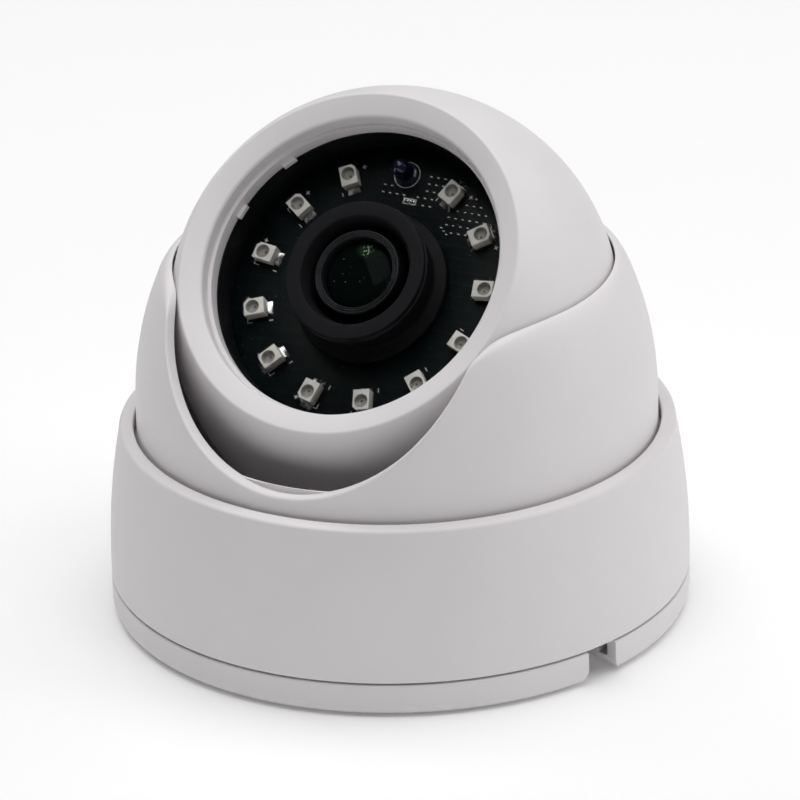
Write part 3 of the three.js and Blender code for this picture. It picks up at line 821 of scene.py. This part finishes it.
def grain_group():
    group, inside, outside = new_group(
        "Moulded grain", {"Place": None, "Grain per metre": 4000.0, "Flow per metre": 60.0},
        ("Height", "Fine", "Flow"))
    place = inside.outputs["Place"]
    fine = noise(group, place, inside.outputs["Grain per metre"], 3, 0.6)
    pits = add_node(group, "ShaderNodeTexVoronoi", feature="SMOOTH_F1")
    group.links.new(place, pits.inputs["Vector"])
    group.links.new(inside.outputs["Grain per metre"], pits.inputs["Scale"])
    height = sum_up(group, "ADD", fine, sum_up(group, "MULTIPLY", pits.outputs["Distance"], 0.6))
    flow = noise(group, place, inside.outputs["Flow per metre"], 4, 0.55)
    for label, socket in (("Height", height), ("Fine", fine), ("Flow", flow)):
        group.links.new(socket, outside.inputs[label])
    return group


# %% [markdown]
# Handling polishes the edges and leaves a little dust in the corners. One group compares the
# surface's normal with a rounded-over normal to find edges, and measures how shut in a spot is to
# find corners. Edges are tinted lighter, partly wear and partly a painted highlight, and corners
# take the dust colour, partly dust and partly painted shade. It also scatters a few specks.

# %% Group: wear, dust and painted light
def wear_and_light_group():
    group, inside, outside = new_group(
        "Wear, specks and painted light", {"Place": None, "Patches per metre": 250.0, "Specks per metre": 1500.0},
        ("Edge wear and highlight", "Corner dust and shade", "Specks"))
    place = inside.outputs["Place"]
    rounded = add_node(group, "ShaderNodeBevel", samples=4)
    rounded.inputs["Radius"].default_value = 0.35 * MM
    surface = add_node(group, "ShaderNodeNewGeometry")
    compare = add_node(group, "ShaderNodeVectorMath", operation="DOT_PRODUCT")
    group.links.new(rounded.outputs["Normal"], compare.inputs[0])
    group.links.new(surface.outputs["Normal"], compare.inputs[1])
    # Edges: partly worn, partly a painted highlight along them.
    edge = ramp(group, compare.outputs["Value"], 0.995, 0.9)
    patches = noise(group, place, inside.outputs["Patches per metre"], 3)
    edge = sum_up(group, "MULTIPLY", edge, ramp(group, patches, 0.35, 0.6))
    # Shut-in spots: partly dust, partly painted shade in the corners.
    shut_in = add_node(group, "ShaderNodeAmbientOcclusion", samples=6)
    shut_in.inputs["Distance"].default_value = 2.5 * MM
    corner = ramp(group, shut_in.outputs["AO"], 0.75, 0.2)
    specks = ramp(group, noise(group, place, inside.outputs["Specks per metre"], 1), 0.76, 0.8)
    for label, socket in (("Edge wear and highlight", edge), ("Corner dust and shade", corner), ("Specks", specks)):
        group.links.new(socket, outside.inputs[label])
    return group


GRAIN, WEAR_AND_LIGHT = grain_group(), wear_and_light_group()
print("node groups:", [group.name for group in bpy.data.node_groups])

# %% [markdown]
# A finish starts from a Principled shader. Its constants are set on the shader's own sockets, and
# only what changes over the surface arrives by a link: the colour, the roughness and the bump.

# %% A plastic, rubber or metal finish
def start_material(name):
    material = bpy.data.materials.new(name)
    material.use_nodes = True
    tree = material.node_tree
    shader = tree.nodes["Principled BSDF"]
    place = tree.nodes.new("ShaderNodeTexCoord").outputs["Object"]
    return material, tree, shader, place


def use_group(tree, group, place, **values):
    node = add_node(tree, "ShaderNodeGroup", node_tree=group)
    tree.links.new(place, node.inputs["Place"])
    for label, value in values.items():
        node.inputs[label.replace("_", " ")].default_value = value
    return node


def blend_colours(tree, share, first, second):
    """Mix two colours, each a socket or (r, g, b)."""
    node = add_node(tree, "ShaderNodeMix", data_type="RGBA")
    tree.links.new(share, node.inputs["Factor"])
    for label, value in (("A", first), ("B", second)):
        socket = next(s for s in node.inputs if s.name == label and s.type == "RGBA")
        if isinstance(value, (tuple, list)):
            socket.default_value = (*value, 1)
        else:
            tree.links.new(value, socket)
    return next(s for s in node.outputs if s.type == "RGBA")


def tinted(colour, factor):
    return tuple(min(1.0, c * factor) for c in colour)


def surface_finish(name, colour, rough=(0.45, 0.55), grain=4000.0, flow=60.0, depth=0.02,
                   vary=0.04, edge_wear_and_highlight_tint=1.1, dust_and_shade=(0.3, 0.29, 0.28), dust_and_shade_share=0.2,
                   metallic=0.0, specular=0.5, coat=0.0):
    """Colour, gloss range, grain per metre, depth of grain in mm, and how it wears, with a painted
    highlight on edges and painted shade in corners.
    """
    material, tree, shader, place = start_material(name)
    skin = use_group(tree, GRAIN, place, Grain_per_metre=grain, Flow_per_metre=flow)
    wear_and_light = use_group(tree, WEAR_AND_LIGHT, place)
    flow_share = ramp(tree, skin.outputs["Flow"], 0.35, 0.65)
    body = blend_colours(tree, flow_share, tinted(colour, 1 - vary), tinted(colour, 1 + vary))
    # The edge tint is partly wear and partly a painted highlight along the edges.
    edge_wear_and_highlight_share = sum_up(tree, "MULTIPLY", wear_and_light.outputs["Edge wear and highlight"], 0.6)
    worn_and_lit_edges = blend_colours(tree, edge_wear_and_highlight_share, body, tinted(colour, edge_wear_and_highlight_tint))
    # The corner mask paints the dust colour into hollows: partly dust, partly painted shade.
    corner_dust_and_shade = sum_up(tree, "MULTIPLY", wear_and_light.outputs["Corner dust and shade"], dust_and_shade_share)
    speck_mask = sum_up(tree, "MULTIPLY", wear_and_light.outputs["Specks"], dust_and_shade_share)
    soiled_and_shaded = blend_colours(tree, sum_up(tree, "ADD", corner_dust_and_shade, speck_mask, True), worn_and_lit_edges, dust_and_shade)
    tree.links.new(soiled_and_shaded, shader.inputs["Base Color"])
    gloss = ramp(tree, skin.outputs["Flow"], 0.3, 0.7, *rough)
    gloss = sum_up(tree, "SUBTRACT", gloss, sum_up(tree, "MULTIPLY", edge_wear_and_highlight_share, 0.12))
    tree.links.new(gloss, shader.inputs["Roughness"])
    bump = add_node(tree, "ShaderNodeBump")
    bump.inputs["Distance"].default_value = depth * MM
    bump.inputs["Strength"].default_value = 0.6
    tree.links.new(skin.outputs["Height"], bump.inputs["Height"])
    tree.links.new(bump.outputs["Normal"], shader.inputs["Normal"])
    shader.inputs["Metallic"].default_value = metallic
    shader.inputs["Specular IOR Level"].default_value = specular
    shader.inputs["Coat Weight"].default_value = coat
    return material


# %% [markdown]
# The finishes of this camera. The housing is a slightly cool white with a satin grain. The black
# plastics differ in gloss, the lamp packages are a warm ivory, and the board's black coating is
# glossier than the rest with faint traces of copper under it.

# %% Plain finishes
# On the white plastic the dust colour darkens the corners: partly dust, partly painted shade.
white_plastic = surface_finish(
    "white housing plastic", (0.825, 0.797, 0.812), rough=(0.42, 0.55), grain=3800, flow=45,
    depth=0.012, vary=0.012, edge_wear_and_highlight_tint=1.06, dust_and_shade=(0.36, 0.34, 0.33), dust_and_shade_share=0.1)
# On this and the other dark finishes an edge tint well above 1 paints a light highlight along the
# edges, beside some wear.
black_plastic = surface_finish("black plastic", (0.007, 0.0075, 0.009), rough=(0.4, 0.55),
                               grain=5000, depth=0.008, vary=0.15, edge_wear_and_highlight_tint=8.0,
                               dust_and_shade=(0.03, 0.03, 0.03), dust_and_shade_share=0.1, specular=0.15)
# The hood's edge tint paints the light lines along its lip and step as a highlight.
hood_rubber = surface_finish("hood rubber", (0.0055, 0.0056, 0.0068), rough=(0.55, 0.75),
                             grain=6000, depth=0.015, vary=0.2, edge_wear_and_highlight_tint=9.0,
                             dust_and_shade=(0.03, 0.03, 0.035), dust_and_shade_share=0.1, specular=0.12)
rubber = surface_finish("black rubber", (0.018, 0.018, 0.02), rough=(0.7, 0.9), grain=2500,
                        depth=0.02, vary=0.15, edge_wear_and_highlight_tint=2.0, dust_and_shade=(0.1, 0.1, 0.1))
# The lamp package's large dust share paints shade into its well and corners, beside some dust.
ivory = surface_finish("lamp package", (0.74, 0.72, 0.66), rough=(0.4, 0.55), grain=16000,
                       flow=700, depth=0.006, vary=0.05, edge_wear_and_highlight_tint=1.2,
                       dust_and_shade=(0.12, 0.115, 0.09), dust_and_shade_share=0.6)
sensor_blue = surface_finish("sensor plastic", (0.006, 0.009, 0.03), rough=(0.12, 0.2),
                             grain=2500, depth=0.002, vary=0.2, edge_wear_and_highlight_tint=4.0,
                             dust_and_shade=(0.05, 0.06, 0.1), dust_and_shade_share=0.2, specular=0.5)
chip_plastic = surface_finish("chip plastic", (0.025, 0.025, 0.027), rough=(0.45, 0.6),
                              grain=9000, depth=0.01, vary=0.15, edge_wear_and_highlight_tint=2.0)
print_ink = surface_finish("white print", (0.75, 0.75, 0.72), rough=(0.5, 0.7), grain=9000,
                           flow=2500, depth=0.01, vary=0.45, edge_wear_and_highlight_tint=1.0, dust_and_shade_share=0.1)
nylon = surface_finish("connector nylon", (0.72, 0.70, 0.62), rough=(0.4, 0.55), grain=5000,
                       depth=0.01, vary=0.03)
steel = surface_finish("zinc-plated steel", (0.58, 0.58, 0.60), rough=(0.25, 0.42), grain=2500,
                       flow=200, depth=0.006, vary=0.08, metallic=1.0, dust_and_shade_share=0.3)
black_steel = surface_finish("blackened steel", (0.02, 0.02, 0.022), rough=(0.5, 0.65),
                             grain=2500, flow=200, depth=0.006, vary=0.1, edge_wear_and_highlight_tint=2.0,
                             dust_and_shade=(0.04, 0.04, 0.04), dust_and_shade_share=0.1, specular=0.2)
brass = surface_finish("turned brass", (0.72, 0.53, 0.24), rough=(0.2, 0.35), grain=3000,
                       flow=150, depth=0.005, vary=0.08, metallic=1.0, dust_and_shade_share=0.3)
solder = surface_finish("solder", (0.75, 0.75, 0.74), rough=(0.15, 0.35), grain=2500, flow=1200,
                        depth=0.03, vary=0.15, metallic=1.0, dust_and_shade=(0.1, 0.09, 0.08))

# %% [markdown]
# The board's coating is thin enough to show the copper traces under it as faint lines that run
# straight and turn at right angles. A brick pattern gives them, faded in places by noise.

# %% Board finish
def board_finish():
    material, tree, shader, place = start_material("black board coating")
    skin = use_group(tree, GRAIN, place, Grain_per_metre=9000.0, Flow_per_metre=300.0)
    wear_and_light = use_group(tree, WEAR_AND_LIGHT, place)
    traces = add_node(tree, "ShaderNodeTexBrick", offset=0.35)
    tree.links.new(place, traces.inputs["Vector"])
    for label, number in (("Scale", 1), ("Mortar Size", 0.00012), ("Brick Width", 0.0031),
                          ("Row Height", 0.0014), ("Mortar Smooth", 0.3)):
        traces.inputs[label].default_value = number
    copper = sum_up(tree, "MULTIPLY", traces.outputs["Fac"], skin.outputs["Flow"])
    base = blend_colours(tree, copper, (0.0016, 0.004, 0.0046), (0.004, 0.009, 0.0095))
    dusty = blend_colours(tree, sum_up(tree, "MULTIPLY", wear_and_light.outputs["Specks"], 0.35), base,
                          (0.12, 0.13, 0.13))
    tree.links.new(dusty, shader.inputs["Base Color"])
    tree.links.new(ramp(tree, skin.outputs["Flow"], 0.3, 0.7, 0.3, 0.45),
                   shader.inputs["Roughness"])
    height = sum_up(tree, "ADD", sum_up(tree, "MULTIPLY", skin.outputs["Height"], 0.25), copper)
    bump = add_node(tree, "ShaderNodeBump")
    bump.inputs["Distance"].default_value = 0.02 * MM
    tree.links.new(height, bump.inputs["Height"])
    tree.links.new(bump.outputs["Normal"], shader.inputs["Normal"])
    shader.inputs["Specular IOR Level"].default_value = 0.1
    return material


board_black = board_finish()

# %% [markdown]
# Clear pieces are smooth and still not perfect: fingerprints and fine dust change their gloss.
# The window lets nearly all light straight through, so it is mostly see-through by its alpha. A
# lens is darker and throws a green tint from its coating. The resin over a lamp is faintly yellow.

# %% Clear finishes
def clear_finish(name, colour, rough, alpha, transmission, specular, coat=0.0,
                 coat_tint=(1, 1, 1), ior=1.49):
    material, tree, shader, place = start_material(name)
    smudge = ramp(tree, noise(tree, place, 120.0, 5, 0.6), 0.45, 0.75)
    wear_and_light = use_group(tree, WEAR_AND_LIGHT, place, Specks_per_metre=2200.0)
    specks = sum_up(tree, "MULTIPLY", wear_and_light.outputs["Specks"], 0.5)
    tree.links.new(blend_colours(tree, specks, colour, (0.6, 0.6, 0.6)),
                   shader.inputs["Base Color"])
    gloss = sum_up(tree, "ADD", sum_up(tree, "MULTIPLY", smudge, 0.06), rough)
    tree.links.new(sum_up(tree, "ADD", gloss, sum_up(tree, "MULTIPLY", specks, 0.4), True),
                   shader.inputs["Roughness"])
    if alpha < 1:
        film = sum_up(tree, "ADD", sum_up(tree, "MULTIPLY", smudge, 0.015), alpha)
        tree.links.new(film, shader.inputs["Alpha"])
    ripple = add_node(tree, "ShaderNodeBump")
    ripple.inputs["Distance"].default_value = 0.004 * MM
    tree.links.new(noise(tree, place, 300.0, 2), ripple.inputs["Height"])
    tree.links.new(ripple.outputs["Normal"], shader.inputs["Normal"])
    shader.inputs["Transmission Weight"].default_value = transmission
    shader.inputs["Specular IOR Level"].default_value = specular
    shader.inputs["IOR"].default_value = ior
    shader.inputs["Coat Weight"].default_value = coat
    shader.inputs["Coat Tint"].default_value = (*coat_tint, 1)
    return material


window_clear = clear_finish("clear acrylic", (0.96, 0.97, 0.97), 0.02, 0.04, 1.0, 0.5, ior=1.04)
resin = clear_finish("lamp resin", (0.86, 0.85, 0.76), 0.08, 0.15, 0.9, 1.0, ior=1.6)
lens_coated = clear_finish("coated lens glass", (0.002, 0.004, 0.0035), 0.03, 1.0, 0.0, 0.06,
                           coat=0.01, coat_tint=(0.35, 0.8, 0.5), ior=1.25)
lens_plain = clear_finish("lens glass", (0.5, 0.62, 0.58), 0.02, 0.6, 0.9, 0.5, ior=1.6)


# %% [markdown]
# The coated elements deeper in the lens each throw back a tiny green or white glint, in a cluster
# above the middle of the glass, and a faint swirl shows below it. The front element is given them
# as light spots of colour that a cell pattern breaks up, kept near one point.

# %% Glints in the lens
def near_point(tree, place, point, inner, outer):
    """A mask that fades out with distance from a point, in metres."""
    away = add_node(tree, "ShaderNodeVectorMath", operation="DISTANCE")
    tree.links.new(place, away.inputs[0])
    away.inputs[1].default_value = point
    return ramp(tree, away.outputs["Value"], outer, inner)


def on_axis_point(x, y, height):
    turn = Matrix.Rotation(LEAN, 3, "X")
    return BALL_CENTRE + turn @ (Vector((x, y, height)) * MM)


def add_glints(material):
    tree = material.node_tree
    shader = tree.nodes["Principled BSDF"]
    place = tree.nodes.new("ShaderNodeTexCoord").outputs["Object"]
    cells = add_node(tree, "ShaderNodeTexVoronoi", feature="F1")
    cells.inputs["Scale"].default_value = 2600.0
    tree.links.new(place, cells.inputs["Vector"])
    dots = ramp(tree, cells.outputs["Distance"], 0.36, 0.18)
    cluster = near_point(tree, place, on_axis_point(0.25, 4.2, 16.8), 0.6 * MM, 1.3 * MM)
    # The haze is a painted green reflection round the glint cluster, and the swirl a faint painted
    # reflection below it.
    haze = near_point(tree, place, on_axis_point(-0.2, 4.2, 16.8), 0.2 * MM, 1.8 * MM)
    swirl = near_point(tree, place, on_axis_point(0.85, -0.9, 17.1), 0.3 * MM, 0.9 * MM)
    base = shader.inputs["Base Color"].links[0].from_socket
    green = blend_colours(tree, sum_up(tree, "MULTIPLY", haze, 0.5), base, (0.012, 0.045, 0.012))
    faint = sum_up(tree, "MULTIPLY", sum_up(tree, "MULTIPLY", dots, swirl), 0.12)
    marked = blend_colours(tree, faint, green, (0.3, 0.33, 0.36))
    bright = sum_up(tree, "MULTIPLY", sum_up(tree, "MULTIPLY", dots, cluster), 0.8)
    tree.links.new(blend_colours(tree, bright, marked, (0.55, 0.68, 0.5)),
                   shader.inputs["Base Color"])


add_glints(lens_coated)


# %% Painting a piece
def paint(piece, material):
    """Give a piece one finish, in place of any it has."""
    piece.data.materials.clear()
    piece.data.materials.append(material)
    return piece


for piece in (base, ring, shroud, front, rear):
    paint(piece, white_plastic)
paint(window, window_clear)
paint(baffle, black_plastic)
paint(board, board_black)
paint(print_marks, print_ink)
paint(vias, steel)

# %% [markdown]
# With its finishes ready, a lamp is put together: package, resin, die, leads and solder are
# painted one by one and then joined. The die sits to the inner side of the well.

# %% Twelve lamps
die_plastic = surface_finish("lamp die", (0.03, 0.028, 0.02), rough=(0.2, 0.3), grain=20000,
                             flow=2000, depth=0.001, vary=0.3, edge_wear_and_highlight_tint=3.0)


def build_lamp(place):
    x, y = -0.25, -0.15
    floor = LAMP_FOOT + LAMP_TALL - 0.96
    die = block("die", (WELL_X + x - 0.16, y - 0.16, floor), (WELL_X + x + 0.16, y + 0.16,
                floor + 0.12), bevel=0.02)
    parts = [paint(lamp_package("package"), ivory), paint(lamp_resin("resin"), resin),
             paint(die, die_plastic), paint(lamp_leads("leads"), steel),
             paint(solder_bead("bead"), solder)]
    lamp = one_object(f"lamp_{place:02d}_soldered", parts)
    on_board([lamp], place_angle(place))
    return on_lens_axis(lamp)


for place in range(1, PLACES):
    finish_piece(build_lamp(place), "eyeball", "lamp_package", f"lamp_{place:02d}")

# %% [markdown]
# The light sensor stands in the thirteenth place, at the top. It is a dark blue round head on a
# thin flange, with a domed tip, and the board has a white ring printed round it. The two tiny
# chips beside it are dark blocks with a bright cap over each end.

# %% Light sensor and chips
z = BOARD_TOP + 0.04
sensor = turned("light_sensor_head", softened([
    (0, z), (1.93, z, 0.1), (1.93, z + 0.8, 0.12), (1.45, z + 0.85, 0.1), (1.45, z + 4.0, 0.6),
    (0.6, z + 4.75, 0.5), (0, z + 4.8),
], closed=False), sides=64, closed=False)
paint(sensor, sensor_blue)
on_board([sensor], 90)
finish_piece(on_lens_axis(sensor), "eyeball", "sensor_plastic", "light_sensor")

sensor_ring = turned("sensor_print_ring", [
    (2.12, BOARD_TOP - 0.01), (2.27, BOARD_TOP - 0.01), (2.27, BOARD_TOP + SKIN),
    (2.12, BOARD_TOP + SKIN)], sides=64)
paint(sensor_ring, print_ink)
on_board([sensor_ring], 90)
finish_piece(on_lens_axis(sensor_ring), "eyeball", "connector_white")

chips = []
for cell in (-0.55, 0.55):
    x, y = frame_x + cell, frame_y
    body = block("chip", (x - 0.22, y - 0.2, BOARD_TOP), (x + 0.22, y + 0.2, BOARD_TOP + 0.32), 0.04)
    chips.append(paint(body, chip_plastic))
    for low, high in ((x - 0.4, x - 0.2), (x + 0.2, x + 0.4)):
        cap = block("cap", (low, y - 0.22, BOARD_TOP), (high, y + 0.22, BOARD_TOP + 0.34), 0.04)
        chips.append(paint(cap, solder))
finish_piece(on_lens_axis(one_object("chip_pair", chips)), "eyeball", "chip_black",
             "chip_resistor")

# %% [markdown]
# ## The lens
# The lens stands in a soft black hood that reaches the window and keeps the lamps' light out of
# it. The hood's mouth has a raised lip with a narrow step outside it. The lens head is a turned
# piece with shallow rings cut in its front face, which show as thin light circles.

# %% Hood, barrel and front element
FRONT = 18.8
hood = turned("lens_hood_soft", softened([
    (8.45, BOARD_TOP + 0.05), (13.2, BOARD_TOP + 0.05, 0.3), (13.2, 11.55, 0.3), (11.2, 12.1, 0.5),
    (10.95, 16.5, 0.3), (12.15, 16.9, 0.25), (12.15, 17.7, 0.12), (11.95, 17.85, 0.08),
    (11.9, FRONT, 0.2), (9.45, FRONT, 0.35), (8.6, 16.2, 0.4),
], steps=5), sides=160)
paint(hood, hood_rubber)
finish_piece(on_lens_axis(hood), "eyeball", "black_rubber", "lens_hood")

HEAD, HEAD_TOP = 7.3, 17.9
face = [(HEAD, HEAD_TOP, 0.25)]
for groove in (6.95, 6.55):
    face += [(groove, HEAD_TOP, 0.04), (groove - 0.06, HEAD_TOP - 0.2, 0.03),
             (groove - 0.2, HEAD_TOP - 0.2, 0.03), (groove - 0.26, HEAD_TOP, 0.04)]
face += [(6.2, HEAD_TOP, 0.08), (6.0, HEAD_TOP - 0.5, 0.06)]
barrel = turned("lens_barrel_ringed", softened([
    (3.2, -0.5), (5.9, -0.5, 0.2), (5.9, 12.3, 0.1), (HEAD, 12.3, 0.3), *face,
    (5.95, 16.2, 0.05), (5.95, 13.2), (3.2, 11.2),
], steps=3), sides=160)
paint(barrel, black_plastic)
finish_piece(on_lens_axis(barrel), "eyeball", "black_plastic", "lens_barrel")

crown = 17.15
dome = [(5.75 * math.cos(math.radians(a)), 16.15 + (crown - 16.15) * math.sin(math.radians(a)))
        for a in range(0, 90, 6)]
element = turned("lens_front_glass", [(0, 13.6), (5.75, 13.6)] + dome + [(0, crown)], sides=128,
                 closed=False)
paint(element, lens_coated)
finish_piece(on_lens_axis(element), "eyeball", "lens_glass", "lens_front_element")

# %% [markdown]
# The pieces that stay inside keep the shapes they were built with, and get the same finishes:
# plated steel for the yoke and the screws, brass for the nut and the pillars, black rubber for
# the cable bush and the friction ring.

# %% Finishes of the inner pieces
inner_finishes = {
    "cable_grommet": rubber, "friction_ring": rubber, "trunnion_keeper_left": black_plastic,
    "trunnion_keeper_right": black_plastic, "tilt_yoke": steel, "roll_bushing": black_plastic,
    "roll_nut": brass, "lamp_connector": nylon, "lens_rear_element": lens_plain,
    "focus_lock_ring": black_steel, "lens_holder": black_plastic, "infrared_filter": lens_plain,
    "image_sensor": chip_plastic, "sensor_board": board_black, "cable_connector": nylon,
    "video_processor": chip_plastic,
}
inner_finishes |= {f"shell_screw_{i}": steel for i in (1, 2, 3)}
inner_finishes |= {f"holder_screw_{i}": steel for i in (1, 2)}
inner_finishes |= {f"board_standoff_{i}": brass for i in (1, 2)}
for name, finish in inner_finishes.items():
    for kept in bpy.data.objects[name].material_slots:
        kept.material = finish
print(len(pieces_made), "pieces made,", len(inner_finishes), "kept as built")

# %% [markdown]
# ## Floor and light
# The camera stands on a plain white sweep. One large soft panel hangs overhead and two
# weaker ones stand to the right and behind on the left. Nothing shines from the front, so the
# upright walls that face the viewer are darker than the rounded shoulders. Each panel is an area light that is aimed by its
# compass direction and its height, as the viewing camera is.

# %% Floor
bpy.ops.object.select_all(action="DESELECT")
bpy.ops.mesh.primitive_plane_add(size=8, location=(0, 0, -0.0002))
floor_sheet = start_piece("studio_floor")
bake_place(floor_sheet)
floor_white, tree, shader, place = start_material("white sweep")
cloud = noise(tree, place, 3.0, 3)
tree.links.new(blend_colours(tree, cloud, (0.985, 0.985, 0.985), (1.0, 1.0, 1.0)),
               shader.inputs["Base Color"])
tree.links.new(ramp(tree, cloud, 0.3, 0.7, 0.85, 0.95), shader.inputs["Roughness"])
shader.inputs["Specular IOR Level"].default_value = 0.1
shader.inputs["Emission Color"].default_value = (1, 1, 1, 1)
shader.inputs["Emission Strength"].default_value = 0.08
paint(floor_sheet, floor_white)


# %% Soft panels
def soft_panel(name, azimuth, elevation, width, height, watts, distance=1.1):
    """An area light aimed at the middle of the object."""
    a, e = math.radians(azimuth), math.radians(elevation)
    away = Vector((math.sin(a) * math.cos(e), -math.cos(a) * math.cos(e), math.sin(e)))
    middle = Vector((0, 0, 40)) * MM
    bpy.ops.object.light_add(type="AREA", location=middle + away * distance)
    panel = bpy.context.object
    panel.name = name
    panel.rotation_euler = away.to_track_quat("Z", "Y").to_euler()
    panel.data.shape = "RECTANGLE"
    panel.data.size, panel.data.size_y = width, height
    panel.data.energy = watts
    return panel


PANELS = {
    "overhead panel": (27, 89, 1.3, 1.3, 12.9),
    "right panel": (117, 22, 0.9, 0.9, 3.2),
    "left rear panel": (-118, 35, 0.9, 0.9, 1.4),
}
panels = [soft_panel(name, *values) for name, values in PANELS.items()]

world = bpy.data.worlds.new("studio air")
bpy.context.scene.world = world
world.use_nodes = True
air = world.node_tree.nodes["Background"]
air.inputs["Color"].default_value = (1.0, 1.0, 1.0, 1)
air.inputs["Strength"].default_value = 0.06
bpy.context.scene.view_settings.view_transform = "Standard"
